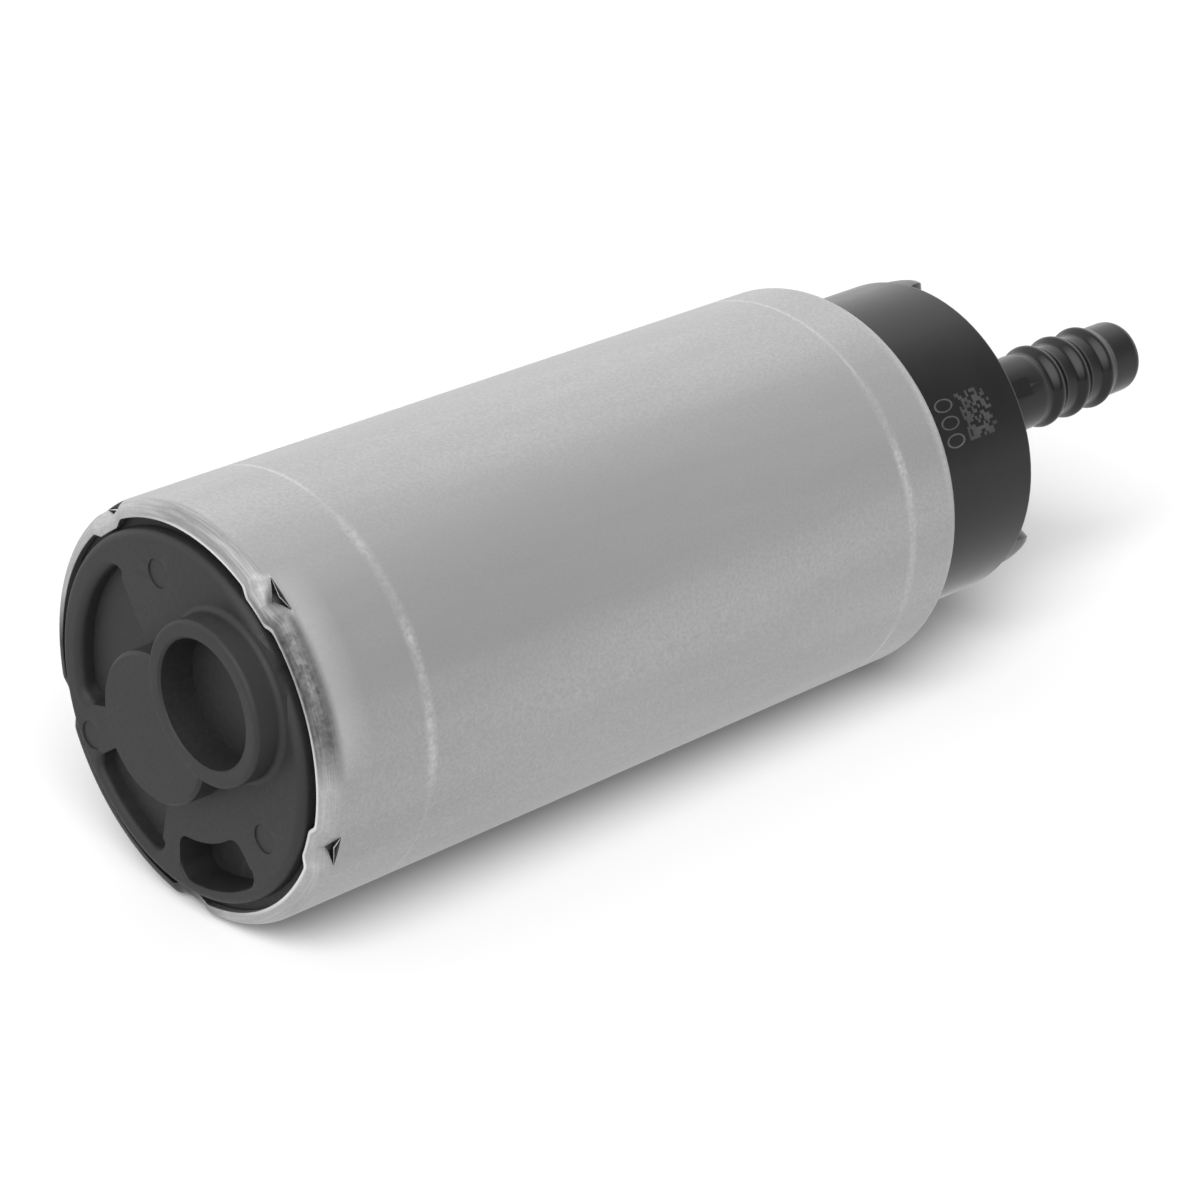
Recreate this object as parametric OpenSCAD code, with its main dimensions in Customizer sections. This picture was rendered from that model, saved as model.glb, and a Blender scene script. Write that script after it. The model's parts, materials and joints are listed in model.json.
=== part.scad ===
// In-tank turbine fuel pump, lying on its side with its axis along +X and its inlet at -X.
// The origin is on the rotor's axis at the middle of the can.

/* [Can] */
// Outside diameter of the rolled steel can
can_d = 43; // [42:0.5:46]
// Length of the can from its inlet lip to its outlet roll
can_len = 87.7; // [86:0.1:92]
// Wall of the can at its two thinned ends
end_wall = 0.9; // [0.8:0.05:1]
// Wall of the can between its two steps, where it carries the magnets
magnet_wall = 2; // [1.8:0.1:2.2]
// Radius of the roll that closes the inlet lip
lip_roll = 1.66; // [1.5:0.02:1.8]
// Radius of the roll that closes the outlet end
outlet_roll = 2.9; // [2.6:0.1:3]
// Distance from the inlet lip to the step that the pump stage seats on
inlet_step = 12.76; // [12.3:0.02:13.3]
// Distance from the outlet end to the step that the bearing holder seats on
outlet_step = 8.34; // [8:0.02:9]
// Number of stakes punched into the inlet lip
stake_count = 5; // [3:1:6]
// Direction of the first stake round the axis, from +Y towards +Z
stake_first = 56; // [50:1:62]
// Width of a stake's sheared window
stake_w = 4; // [3:0.5:5]
// Length of a stake's sheared window along the axis
stake_len = 1.1; // [0.8:0.1:1.3]
// How far a stake pushes the lip's edge inwards
stake_push = 0.6; // [0.4:0.05:0.7]

/* [Ports] */
// Direction of the inlet spigot and the outlet nozzle round the axis, from +Y towards +Z
port_angle = 145.7; // [140:0.1:150]
// Distance of both ports from the rotor's axis
port_offset = 9.93; // [9.6:0.01:10.2]

/* [Inlet cover] */
// Diameter of the cover's raised face
face_d = 37.74; // [36.8:0.02:38]
// How far the raised face stands out of the lip
face_proud = 0.86; // [0.6:0.02:1.2]
// Depth of the cover's inner face below the lip
cover_depth = 5.6; // [5.4:0.1:5.9]
// Diameter of the round boss over the thrust pin
boss_d = 15.56; // [14.8:0.02:16]
// How far the boss stands out of the raised face
boss_proud = 3.04; // [2.6:0.02:3.4]
// Bore of the inlet spigot
spigot_bore = 13; // [12.6:0.1:13.2]
// Outside diameter of the inlet spigot
spigot_od = 16.6; // [16.2:0.1:17]
// How far the spigot stands out of the raised face
spigot_proud = 3.14; // [2.8:0.02:3.6]
// Depth of the spigot's floor below the lip
spigot_floor = 0; // [-0.2:0.1:0.3]
// Depth of the two shallow pockets below the lip
pocket_depth = 1; // [0.6:0.1:1.3]
// Depth of the vent pocket below the lip
vent_depth = 3; // [2.6:0.1:3.2]
// Diameter of the vapour vent
vent_d = 1.4; // [1:0.1:1.6]
// Diameter of an ejector mark
mark_d = 3; // [2.4:0.1:3.4]

/* [Pump stage] */
// Thickness of the impeller
impeller_t = 3.94; // [3.6:0.02:4.2]
// Wall of the discharge plate round the impeller
chamber_wall = 3.2; // [3:0.1:3.5]
// Number of impeller vanes
vane_count = 37; // [29:2:41]
// Thickness of a vane
vane_t = 0.6; // [0.5:0.05:0.7]
// Lean of a vane to each side of the impeller's middle plane
vane_lean = 18; // [10:1:22]
// Width of the ring outside the vanes
vane_rim = 0.7; // [0.6:0.05:0.9]
// Radial length of the vanes, and width of the side channels
channel_w = 3; // [2.6:0.1:3.2]
// Angle that the side channels run round the axis
channel_span = 300; // [280:5:305]
// Number of pressure holes through the impeller
balance_count = 6; // [4:1:8]
// Diameter of a pressure hole
balance_d = 2; // [1.6:0.1:2.4]

/* [Shaft and bearings] */
// Diameter of the shaft
shaft_d = 5; // [4.6:0.1:5.2]
// Depth of the flat that drives the impeller
shaft_flat = 0.6; // [0.4:0.05:0.8]
// Outside diameter of the front bush
front_bush_od = 9; // [8.4:0.1:9.6]
// Outside diameter of the rear bush
rear_bush_od = 7.8; // [7.4:0.1:8]
// Length of each bush
bush_len = 6.4; // [5.6:0.1:7]
// Diameter of the thrust pin in the inlet cover
thrust_pin_d = 4; // [3.6:0.1:4.4]
// Thickness of the two spacer rings on the shaft
spacer_t = 1.2; // [1:0.1:1.4]

/* [Motor] */
// Distance from the inlet lip to the armature core
core_x = 22; // [21.6:0.1:22.6]
// Distance from the armature core's end to the can's outlet end
core_back = 25.7; // [25.2:0.1:27.7]
// Air gap between the armature and the magnets
air_gap = 0.5; // [0.4:0.05:0.7]
// Thickness of a magnet
magnet_t = 3.5; // [3.2:0.1:3.8]
// How far a magnet reaches past each end of the core
magnet_over = 2.5; // [1.5:0.25:3]
// Angle that a magnet covers
magnet_span = 118; // [110:1:124]
// Thickness of the spring clips between the magnets
clip_t = 0.5; // [0.4:0.05:0.6]
// Number of armature slots and commutator segments
slot_count = 8; // [6:1:10]
// Depth of an armature slot below the tooth tips
slot_depth = 7.2; // [6.4:0.1:7.6]
// Thickness of the tooth tips
tooth_tip = 1.3; // [1:0.1:1.6]
// Width of a slot's mouth
slot_mouth = 1.6; // [1.2:0.1:2]
// Height of the end turns of the windings
end_turn_h = 3.9; // [3.4:0.1:4.1]
// Diameter of the commutator
commutator_d = 25.2; // [24.4:0.1:26]
// Thickness of the commutator's moulded hub
commutator_hub_t = 2.6; // [2.2:0.1:2.8]
// Thickness of the commutator's carbon segments
segment_t = 3; // [2.6:0.1:3.2]
// Gap between two segments
segment_gap = 0.6; // [0.4:0.1:0.8]

/* [Brushes] */
// Distance of a brush's inner side from the axis
brush_inner = 6.4; // [6.3:0.05:6.6]
// Width of a brush across the radius
brush_w = 6.4; // [5.8:0.1:6.6]
// Room for the well and the lead between a brush and the cap's side wall
brush_room = 4.6; // [4.5:0.1:4.9]
// Length of a new brush
brush_len = 12; // [11:0.5:12.5]
// Wall of the brush wells
well_wall = 1.1; // [0.9:0.05:1.2]
// Wire of the brush springs
brush_wire = 0.5; // [0.4:0.05:0.6]
// Turns of a brush spring
brush_turns = 7; // [5:1:8]
// Diameter of a brush lead
lead_d = 0.9; // [0.7:0.1:1]

/* [Outlet cap] */
// Distance of the cap's side inside the can's outside
cap_inset = 3.45; // [3.3:0.05:3.8]
// Wall of the cap
cap_wall = 2.05; // [1.8:0.05:2.2]
// How far the cap stands out of the can
cap_proud = 14.9; // [14.5:0.1:16]
// Thickness of the cap's end
cap_end_t = 2.5; // [2.2:0.1:2.8]
// Rounding of the cap's end edge
cap_edge = 0.5; // [0.4:0.1:1]
// Depth of the recess in the cap's end
cap_recess = 0.8; // [0.5:0.1:1]
// Angle of a locating lug to each side of the nozzle
lug_angle = 67.5; // [62:0.5:72]
// Width of a lug
lug_w = 4.4; // [3.6:0.1:5]
// Height of a lug over the cap's end
lug_h = 1.6; // [1.2:0.1:2]
// Distance of a lug inside the cap's side
lug_inset = 0.4; // [0.3:0.05:0.6]
// Section of the sealing ring
seal_d = 1.5; // [1.3:0.05:1.6]

/* [Nozzle] */
// Diameter of the nozzle's neck
neck_d = 8.6; // [8.4:0.1:8.8]
// Length from the cap's end to the first barb's crest
neck_len = 10.77; // [9:0.01:12]
// Diameter over the barbs
barb_d = 9.5; // [9.3:0.1:9.8]
// Number of barbs
barb_count = 3; // [2:1:4]
// Distance from one barb to the next
barb_pitch = 4.24; // [4:0.02:4.6]
// Diameter of the tip past the barbs
tip_d = 8.2; // [8:0.1:8.4]
// Length from the last barb's crest to the nozzle's end
tip_len = 6.25; // [6:0.05:7.5]
// Width of the rib at the nozzle's foot
rib_w = 2.1; // [1.8:0.1:2.4]
// Length of the rib from the cap's end
rib_len = 5.9; // [5:0.1:6.2]
// Height of the rib over the neck
rib_h = 0.35; // [0.3:0.05:0.5]
// Bore of the nozzle
nozzle_bore = 6; // [5.2:0.1:6.2]

/* [Valves] */
// Bore of the check valve's chamber
chamber_bore = 9; // [8.6:0.1:9.2]
// Length of the check valve's chamber
chamber_len = 14; // [13:0.5:14.5]
// Wall of the check valve's chamber
chamber_tube_wall = 1.1; // [0.9:0.05:1.2]
// Hole in the check valve's seat
seat_hole = 5.6; // [5:0.1:5.8]
// Diameter of the relief valve's ball
relief_ball_d = 3.6; // [3.4:0.1:3.8]
// Direction of the relief valve from the nozzle, round the axis
relief_angle = 48; // [46:1:50]
// Distance of the relief valve from the inside of the cap's wall
relief_inset = 3.1; // [2.9:0.1:3.3]
// Wire of the check valve's spring
check_wire = 0.5; // [0.4:0.05:0.6]
// Turns of the check valve's spring
check_turns = 6; // [5:1:7]
// Wire of the relief valve's spring
relief_wire = 0.4; // [0.35:0.05:0.45]
// Turns of the relief valve's spring
relief_turns = 5; // [4:1:5]

/* [Connector] */
// Distance of the connector's middle from the axis
socket_offset = 10.4; // [10.2:0.1:10.6]
// Length of the connector's socket
socket_l = 14.6; // [14:0.1:14.8]
// Width of the connector's socket
socket_w = 7.2; // [7:0.1:7.4]
// Depth of the connector's socket
socket_depth = 7.6; // [6.5:0.1:9]
// Wall of the connector's shroud
shroud_wall = 1.2; // [1:0.1:1.3]
// Distance of a terminal from the middle of the socket
terminal_offset = 5.3; // [5.1:0.1:5.5]
// Width of a terminal
terminal_w = 2.8; // [2.4:0.1:3.2]
// Thickness of a terminal
terminal_t = 0.8; // [0.6:0.1:0.9]
// Diameter of a choke's ferrite rod
choke_d = 3.2; // [2.8:0.1:3.4]
// Length of a choke's ferrite rod
choke_len = 13; // [12:0.5:13]
// Wire of a choke
choke_wire = 0.7; // [0.6:0.05:0.8]
// Turns of a choke
choke_turns = 7; // [5:1:8]
// Distance of a choke from the axis, away from the nozzle
choke_back = 8.4; // [8.3:0.05:8.5]
// Distance of a choke from the plane through the axis and the nozzle
choke_side = 8; // [7.9:0.05:8.1]

/* [Fits] */
// Radial clearance of a running fit
running = 0.04; // [0.02:0.01:0.06]
// Clearance between pieces that seat on each other
seat = 0.03; // [0.02:0.01:0.05]
// Axial clearance of the impeller on each side
axial = 0.03; // [0.02:0.01:0.06]
// Clearance of a brush in its well
brush_play = 0.05; // [0.03:0.01:0.08]

/* [Hidden] */
$fn = 96;

// Radii, from the outside of the can inwards
can_r = can_d / 2;
thin_r = can_r - end_wall;
bore_r = can_r - magnet_wall;
lip_edge_r = can_r - lip_roll;
seat_r = thin_r - seat;
face_r = face_d / 2;
boss_r = boss_d / 2;
chamber_r = seat_r - chamber_wall;
impeller_r = chamber_r - 2 * running;
vane_out_r = impeller_r - vane_rim;
vane_in_r = vane_out_r - channel_w;
channel_r = (vane_out_r + vane_in_r) / 2;
magnet_out_r = bore_r - seat;
magnet_in_r = magnet_out_r - magnet_t;
armature_r = magnet_in_r - air_gap;
slot_out_r = armature_r - tooth_tip;
slot_in_r = armature_r - tooth_tip - slot_depth;
shaft_r = shaft_d / 2;
cap_r = can_r - cap_inset;
cavity_r = cap_r - cap_wall;
relief_offset = cavity_r - relief_inset;
brush_t = cavity_r - brush_room - brush_inner;
brush_offset = brush_inner + brush_t / 2;
port_x = port_offset * cos(port_angle);
port_y = port_offset * sin(port_angle);

// Stations along the axis, measured from the inlet lip
out_step_x = can_len - outlet_step;
chamber_x = cover_depth + impeller_t + 2 * axial;
pin_pocket = 0.4;
port_inset = 0.2;
port_ledge = 0.9;
shaft_x = cover_depth - pin_pocket + seat;
bush_x = chamber_x + 0.8;
core_len = can_len - core_x - core_back;
core_end = core_x + core_len;
magnet_len = core_len + 2 * magnet_over;
hub_x = core_end + end_turn_h + 0.4;
segment_x = hub_x + commutator_hub_t;
brush_x = segment_x + segment_t + seat;
rear_spacer_x = segment_x + segment_t - 0.6;
rear_bush_x = rear_spacer_x + spacer_t + 0.8;
rear_bush_end = rear_bush_x + bush_len;
shaft_end = rear_bush_end + 1;
holder_t = 2.2;
cap_x = out_step_x + holder_t;
cap_end = can_len + cap_proud;
inner_end = cap_end - cap_end_t;
well_x = brush_x + 1.6;
spring_x = brush_x + brush_len;
spring_end = inner_end - 2.4;
valve_x = inner_end - chamber_len - 2.6;
valve_end = valve_x + chamber_len;
check_seat_t = 2;
check_x = valve_x + check_seat_t;
guide_t = 1.8;
guide_x = valve_end - guide_t - seat;
relief_x = inner_end - 11.4;
relief_seat_t = 1.8;
relief_bore = relief_ball_d + 0.8;
relief_hole = 2.2;
ball_r = relief_ball_d / 2;
ball_x = relief_x + relief_seat_t + sqrt(ball_r * ball_r - pow(relief_hole / 2, 2)) + seat;
first_barb = cap_end + neck_len;
nozzle_end = first_barb + (barb_count - 1) * barb_pitch + tip_len;
socket_floor = cap_end + 1;
shroud_end = socket_floor + socket_depth;
choke_x = inner_end - choke_len - 2.8;
choke_at = [-choke_back, choke_side];
coil_r = choke_d / 2 + choke_wire / 2 + 0.06;
turn_steps = 14;
mark_places = [[14.85, 82.8], [16.2, -25.9], [15.03, 211.3]];

// Turns a piece from its own Z axis to the pump's +X axis, x from the inlet lip
module along(x = 0) translate([x - can_len / 2, 0, 0]) rotate([90, 0, 90]) children();

// The same, with the piece's own X axis pointing from the rotor's axis to the ports
module along_port(x = 0) along(x) rotate([0, 0, port_angle]) children();

// The same, standing on the axis of the ports
module on_port(x = 0) along_port(x) translate([port_offset, 0, 0]) children();

function arc(cx, cy, r, a0, a1, n) =
  [for (i = [0:n]) let (a = a0 + (a1 - a0) * i / n) [cx + r * cos(a), cy + r * sin(a)]];

// Points of an annular sector with rounded corners, co outside and ci inside
function sector(ri, ro, a0, a1, co, ci) =
  let (d = asin(co / (ro - co)), e = asin(ci / (ri + ci)))
  concat(
    arc(0, 0, ro, a0 + d, a1 - d, 24),
    arc((ro - co) * cos(a1 - d), (ro - co) * sin(a1 - d), co, a1 - d, a1 + 90, 6),
    arc((ri + ci) * cos(a1 - e), (ri + ci) * sin(a1 - e), ci, a1 + 90, a1 - e + 180, 4),
    arc(0, 0, ri, a1 - e, a0 + e, 16),
    arc((ri + ci) * cos(a0 + e), (ri + ci) * sin(a0 + e), ci, a0 + e + 180, a0 + 270, 4),
    arc((ro - co) * cos(a0 + d), (ro - co) * sin(a0 + d), co, a0 - 90, a0 + d, 6));

module tube(r_out, r_in, h) difference() {
  cylinder(r = r_out, h = h);
  translate([0, 0, -1]) cylinder(r = r_in, h = h + 2);
}

function unit(v) = v / norm(v);

// A smooth curve through points, with n steps from each to the next
function smooth(p, n) = [for (i = [0:len(p) - 2], j = [0:n - (i == len(p) - 2 ? 0 : 1)])
  let (a = p[max(i - 1, 0)], b = p[i], c = p[i + 1], d = p[min(i + 2, len(p) - 1)], t = j / n)
  ((2 * b) + (c - a) * t + (2 * a - 5 * b + 4 * c - d) * t * t
   + (3 * b - a - 3 * c + d) * t * t * t) / 2];

// A round wire swept along points that never run along the Z axis
module wire(pts, r, sides) {
  n = len(pts);
  rings = [for (i = [0:n - 1])
    let (t = unit(pts[min(i + 1, n - 1)] - pts[max(i - 1, 0)]),
         u = unit(cross(t, [0, 0, 1])), v = cross(t, u))
    for (k = [0:sides - 1]) pts[i] + r * (cos(360 * k / sides) * u + sin(360 * k / sides) * v)];
  sidewalls = [for (i = [0:n - 2], k = [0:sides - 1])
    let (a = i * sides + k, b = i * sides + (k + 1) % sides, c = a + sides, d = b + sides)
    each [[a, d, b], [a, c, d]]];
  caps = concat([for (k = [1:sides - 2]) [0, k, k + 1]],
                [for (k = [1:sides - 2]) [(n - 1) * sides, (n - 1) * sides + k + 1,
                                          (n - 1) * sides + k]]);
  polyhedron(concat(rings), concat(sidewalls, caps), convexity = 8);
}

function helix(r, h, turns) =
  [for (i = [0:turns * turn_steps]) let (a = 360 * i / turn_steps)
    [r * cos(a), r * sin(a), h * i / (turns * turn_steps)]];

// Least gap of a wound wire to itself, on points at least half a turn apart
function least_gap(pts, wire_d) =
  min([for (i = [0:len(pts) - 1], j = [i + turn_steps / 2:1:len(pts) - 1])
    norm(pts[i] - pts[j])]) - wire_d;

module wound(label, r, h, turns, wire_d) {
  pts = helix(r, h, turns);
  echo(str(label, ": least gap to itself ", least_gap(pts, wire_d), " mm"));
  wire(pts, wire_d / 2, 5);
}

module spring(label, r, h, turns, wire_d)
  translate([0, 0, wire_d / 2]) wound(label, r, h - wire_d, turns, wire_d);

// Can: one tube, thick where the magnets sit, thinned and rolled over at both ends
module can_wall_section() polygon(concat(
  arc(lip_edge_r, lip_roll, lip_roll, -90, 0, 8),
  arc(can_r - outlet_roll, can_len - outlet_roll, outlet_roll, 0, 90, 10),
  arc(can_r - outlet_roll, can_len - outlet_roll, outlet_roll - end_wall, 90, 0, 8),
  [[thin_r, out_step_x], [bore_r, out_step_x], [bore_r, inlet_step], [thin_r, inlet_step]],
  arc(lip_edge_r, lip_roll, lip_roll - end_wall, 0, -90, 6)));

module stake_window() {
  apex = lip_roll - 0.66;
  translate([lip_edge_r - 1, 0, 0]) rotate([0, 90, 0]) linear_extrude(lip_roll + 2)
    polygon([[-apex - stake_len, -stake_w / 2], [-apex - stake_len, stake_w / 2], [-apex, 0]]);
}

module stake_tab() linear_extrude(end_wall - 0.1)
  polygon([[lip_edge_r + 0.5, -stake_w / 2], [lip_edge_r + 0.5, stake_w / 2],
           [lip_edge_r - stake_push, stake_w / 4], [lip_edge_r - stake_push, -stake_w / 4]]);

module can() color("#b9babb") along() difference() {
  union() {
    rotate_extrude($fn = 128) can_wall_section();
    for (i = [0:stake_count - 1]) rotate([0, 0, stake_first + i * 360 / stake_count])
      stake_tab();
  }
  for (i = [0:stake_count - 1]) rotate([0, 0, stake_first + i * 360 / stake_count])
    stake_window();
}

// Inlet cover: raised face, boss, spigot and moulded pockets outside; side channel inside
module cover_blank() {
  edge = 0.9;
  rim_x = end_wall + seat;
  rotate_extrude() polygon(concat(
    [[0, -face_proud]], arc(face_r - edge, edge - face_proud, edge, 270, 360, 8),
    [[face_r, rim_x], [lip_edge_r, rim_x], [seat_r, lip_roll + seat],
     [seat_r, cover_depth], [0, cover_depth]]));
}

module cover_boss() {
  edge = 0.35;
  top = -face_proud - boss_proud;
  rotate_extrude() polygon([
    [0, top], [boss_r - edge, top], [boss_r, top + edge], [boss_r, cover_depth - 1],
    [0, cover_depth - 1]]);
}

module cover_spigot() {
  top = -face_proud - spigot_proud;
  r = spigot_od / 2;
  foot = 0.65;
  translate([port_x, port_y, 0]) rotate_extrude() polygon(concat(
    [[0, top]], arc(r - 0.5, top + 0.5, 0.5, -90, 0, 5),
    arc(r + foot, -face_proud - foot, foot, 180, 90, 5),
    [[r + foot, 0.5], [0, 0.5]]));
}

module pocket(ri, ro, a0, a1, depth, co, ci)
  translate([0, 0, -face_proud - 1]) linear_extrude(face_proud + 1 + depth)
    polygon(sector(ri, ro, a0, a1, co, ci));

module side_channel(x) rotate([0, 0, port_angle - 22])
  rotate_extrude(angle = channel_span, $fn = 128) translate([channel_r, x])
    circle(r = channel_w / 2, $fn = 24);

module inlet_port() intersection() {
  translate([port_x, port_y, spigot_floor - 0.5])
    cylinder(r = spigot_bore / 2 - port_ledge, h = cover_depth - spigot_floor + 1);
  translate([0, 0, spigot_floor - 0.5]) linear_extrude(cover_depth - spigot_floor + 1)
    polygon(sector(vane_in_r + port_inset, vane_out_r - port_inset, port_angle - 26,
                   port_angle + 26, 0.8, 0.8));
}

module inlet_cover() color("#444546") along() difference() {
  union() {
    difference() {
      cover_blank();
      pocket(boss_r - 2, face_r - 2.8, -14, 57.5, pocket_depth, 1.5, 0.5);
      pocket(boss_r - 2, face_r - 1.8, -76.2, -33.5, pocket_depth, 1.6, 0.5);
      pocket(vane_in_r - 1.1, face_r - 1.4, -131, -87, vent_depth, 1.6, 1.3);
    }
    cover_boss();
    cover_spigot();
  }
  translate([port_x, port_y, -face_proud - spigot_proud - 1])
    cylinder(r = spigot_bore / 2, h = face_proud + spigot_proud + spigot_floor + 1);
  translate([port_x, port_y, -face_proud - spigot_proud]) rotate_extrude()
    polygon([[0, -1], [spigot_bore / 2 + 1.25, -1], [spigot_bore / 2, 0.25], [0, 0.25]]);
  inlet_port();
  side_channel(cover_depth + seat);
  translate([0, 0, cover_depth - 4.6]) cylinder(r = thrust_pin_d / 2 + seat, h = 6);
  translate([0, 0, cover_depth - pin_pocket - 0.2]) cylinder(r = shaft_r + 0.6, h = 2);
  rotate([0, 0, -109]) translate([channel_r, 0, 0]) cylinder(d = vent_d, h = cover_depth);
  for (m = mark_places) rotate([0, 0, m[1]]) translate([m[0], 0, -face_proud - 0.85])
    cylinder(d = mark_d, h = 1);
}

module thrust_pin() color("#c9cbce") along(cover_depth - 4.6 + seat) difference() {
  cylinder(r = thrust_pin_d / 2, h = 4.2 - seat);
  translate([0, 0, 4.2 - seat - 0.4]) tube(thrust_pin_d, thrust_pin_d / 2 - 0.4, 1);
}

// Discharge plate: the impeller's chamber, the outlet side channel and the front bush seat
module discharge_plate() color("#505152") along() difference() {
  union() {
    translate([0, 0, cover_depth]) cylinder(r = seat_r, h = inlet_step - cover_depth);
    translate([0, 0, cover_depth]) cylinder(d = front_bush_od + 4.4,
                                            h = bush_x + bush_len - cover_depth);
    for (a = [0:60:300]) rotate([0, 0, a]) translate([0, -0.7, inlet_step - 1])
      cube([front_bush_od / 2 + 5.4, 1.4, 3]);
  }
  translate([0, 0, cover_depth - 1]) cylinder(r = chamber_r, h = chamber_x - cover_depth + 1);
  translate([0, 0, bush_x]) cylinder(d = front_bush_od + 2 * seat, h = bush_len + 9);
  cylinder(r = shaft_r + 0.4, h = bush_x + 1);
  side_channel(chamber_x - seat);
  translate([0, 0, chamber_x - 0.5]) linear_extrude(inlet_step)
    polygon(sector(vane_in_r + port_inset, vane_out_r - port_inset,
                   port_angle - 22 + channel_span - 18, port_angle - 22 + channel_span - 1,
                   0.8, 0.8));
}

module front_bush() color("#6f6258") along(bush_x + seat)
  tube(front_bush_od / 2, shaft_r + running, bush_len - seat);

// Impeller: two rows of leaning vanes in a closed ring, with a ridge between the rows
module vane_gap(side) {
  pitch_in = 2 * PI * vane_in_r / vane_count;
  pitch_out = 2 * PI * vane_out_r / vane_count;
  rotate([side * vane_lean, 0, 0]) mirror([0, 0, side > 0 ? 0 : 1])
    translate([0, 0, -0.01]) linear_extrude(impeller_t)
      polygon([[vane_in_r, (vane_t - pitch_in) / 2], [vane_out_r, (vane_t - pitch_out) / 2],
               [vane_out_r, (pitch_out - vane_t) / 2], [vane_in_r, (pitch_in - vane_t) / 2]]);
}

module impeller() color("#3b3a38") along(cover_depth + axial) difference() {
  union() {
    difference() {
      cylinder(r = impeller_r, h = impeller_t);
      translate([0, 0, impeller_t / 2]) for (i = [0:vane_count - 1], side = [-1, 1])
        rotate([0, 0, i * 360 / vane_count]) vane_gap(side);
    }
    rotate_extrude() translate([0, impeller_t / 2])
      polygon([[vane_in_r - 0.5, -1], [vane_in_r + 1.7, 0], [vane_in_r - 0.5, 1]]);
  }
  translate([0, 0, -1]) drive_section(shaft_r + running, impeller_t + 2);
  for (i = [0:balance_count - 1]) rotate([0, 0, (i + 0.5) * 360 / balance_count])
    translate([shaft_r + 4.4, 0, -1]) cylinder(d = balance_d, h = impeller_t + 2, $fn = 32);
}

module drive_section(r, h) difference() {
  cylinder(r = r, h = h);
  translate([r - shaft_flat, -r, -1]) cube([r, 2 * r, h + 2]);
}

module shaft() color("#d2d4d6") along(shaft_x) {
  flat_len = chamber_x + 0.6 - shaft_x;
  edge = 0.3;
  drive_section(shaft_r, flat_len);
  translate([0, 0, flat_len]) cylinder(r = shaft_r, h = shaft_end - shaft_x - flat_len - edge);
  translate([0, 0, shaft_end - shaft_x - edge]) cylinder(r = shaft_r - edge, h = edge);
}

module spacer() tube(shaft_r + 1.6, shaft_r + seat, spacer_t);
module front_spacer() color("#e3e0d6") along(bush_x + bush_len + 0.3) spacer();
module rear_spacer() color("#e3e0d6") along(rear_spacer_x) spacer();

// Armature: a slotted core, coils in its slots, and a flat commutator of carbon segments
module slot(inset) {
  half = 180 / slot_count - 9;
  polygon(sector(slot_in_r + inset, slot_out_r - inset, -half + inset * 2, half - inset * 2,
                 0.9, 0.8));
}

module armature_core() color("#7d8084") along(core_x) difference() {
  cylinder(r = armature_r, h = core_len);
  translate([0, 0, -1]) cylinder(r = shaft_r + seat, h = core_len + 2);
  for (i = [0:slot_count - 1]) rotate([0, 0, (i + 0.5) * 360 / slot_count])
    translate([0, 0, -1]) linear_extrude(core_len + 2) {
      slot(0);
      translate([slot_out_r - 1, -slot_mouth / 2]) square([tooth_tip + 3, slot_mouth]);
    }
}

module end_turns() {
  ri = slot_in_r - 1.2;
  ro = slot_out_r - 0.3;
  head = 2.2;
  rotate_extrude() translate([ri - 0.2, seat]) square([ro - ri + 0.4, 1.3]);
  for (i = [0:slot_count - 1]) rotate([0, 0, (i + 0.08) * 360 / slot_count])
    rotate_extrude(angle = 0.84 * 360 / slot_count) polygon(concat(
      [[ri, 0.6], [ro, 0.6]], arc(ro - head, end_turn_h - head, head, 0, 90, 6),
      arc(ri + 1.2, end_turn_h - 1.2, 1.2, 90, 180, 4)));
}

module windings() color("#a4562b") along(core_x) {
  for (i = [0:slot_count - 1]) rotate([0, 0, (i + 0.5) * 360 / slot_count])
    translate([0, 0, -0.5]) linear_extrude(core_len + 1) slot(0.15);
  translate([0, 0, core_len]) end_turns();
  mirror([0, 0, 1]) end_turns();
}

module commutator_hub() color("#2c2a2a") along(hub_x) difference() {
  union() {
    cylinder(d = commutator_d, h = commutator_hub_t);
    cylinder(r = shaft_r + 2.2, h = commutator_hub_t + segment_t - 0.6 - seat);
    for (i = [0:slot_count - 1]) rotate([0, 0, (i + 0.5) * 360 / slot_count])
      translate([commutator_d / 2 - 1, -0.9, 0]) cube([2.1, 1.8, 1.2]);
  }
  translate([0, 0, -1]) cylinder(r = shaft_r + seat, h = 20);
}

module commutator_segments() color("#3f4043") along(segment_x) difference() {
  tube(commutator_d / 2, shaft_r + 3, segment_t);
  for (i = [0:slot_count - 1]) rotate([0, 0, i * 360 / slot_count])
    translate([0, -segment_gap / 2, -1]) cube([commutator_d, segment_gap, segment_t + 2]);
}

// Magnets: two arcs pressed apart against the can by two spring clips
module magnet(side) color("#55575b") along_port(core_x + (core_len - magnet_len) / 2)
  linear_extrude(magnet_len)
    polygon(sector(magnet_in_r, magnet_out_r, side * 90 - magnet_span / 2,
                   side * 90 + magnet_span / 2, 0.5, 0.5));
module magnet_a() magnet(1);
module magnet_b() magnet(-1);

module magnet_clips() color("#c3c6c9") {
  half = 90 - magnet_span / 2 - 0.15;
  leg = 2.4;
  for (a = [0, 180]) along_port(core_x) rotate([0, 0, a]) linear_extrude(core_len) {
    polygon(sector(magnet_out_r - clip_t, magnet_out_r, -half, half, 0.1, 0.1));
    for (s = [-1, 1]) rotate([0, 0, s * half]) translate([magnet_out_r - leg, s > 0 ? -clip_t : 0])
      square([leg - 0.2, clip_t]);
  }
}

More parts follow.
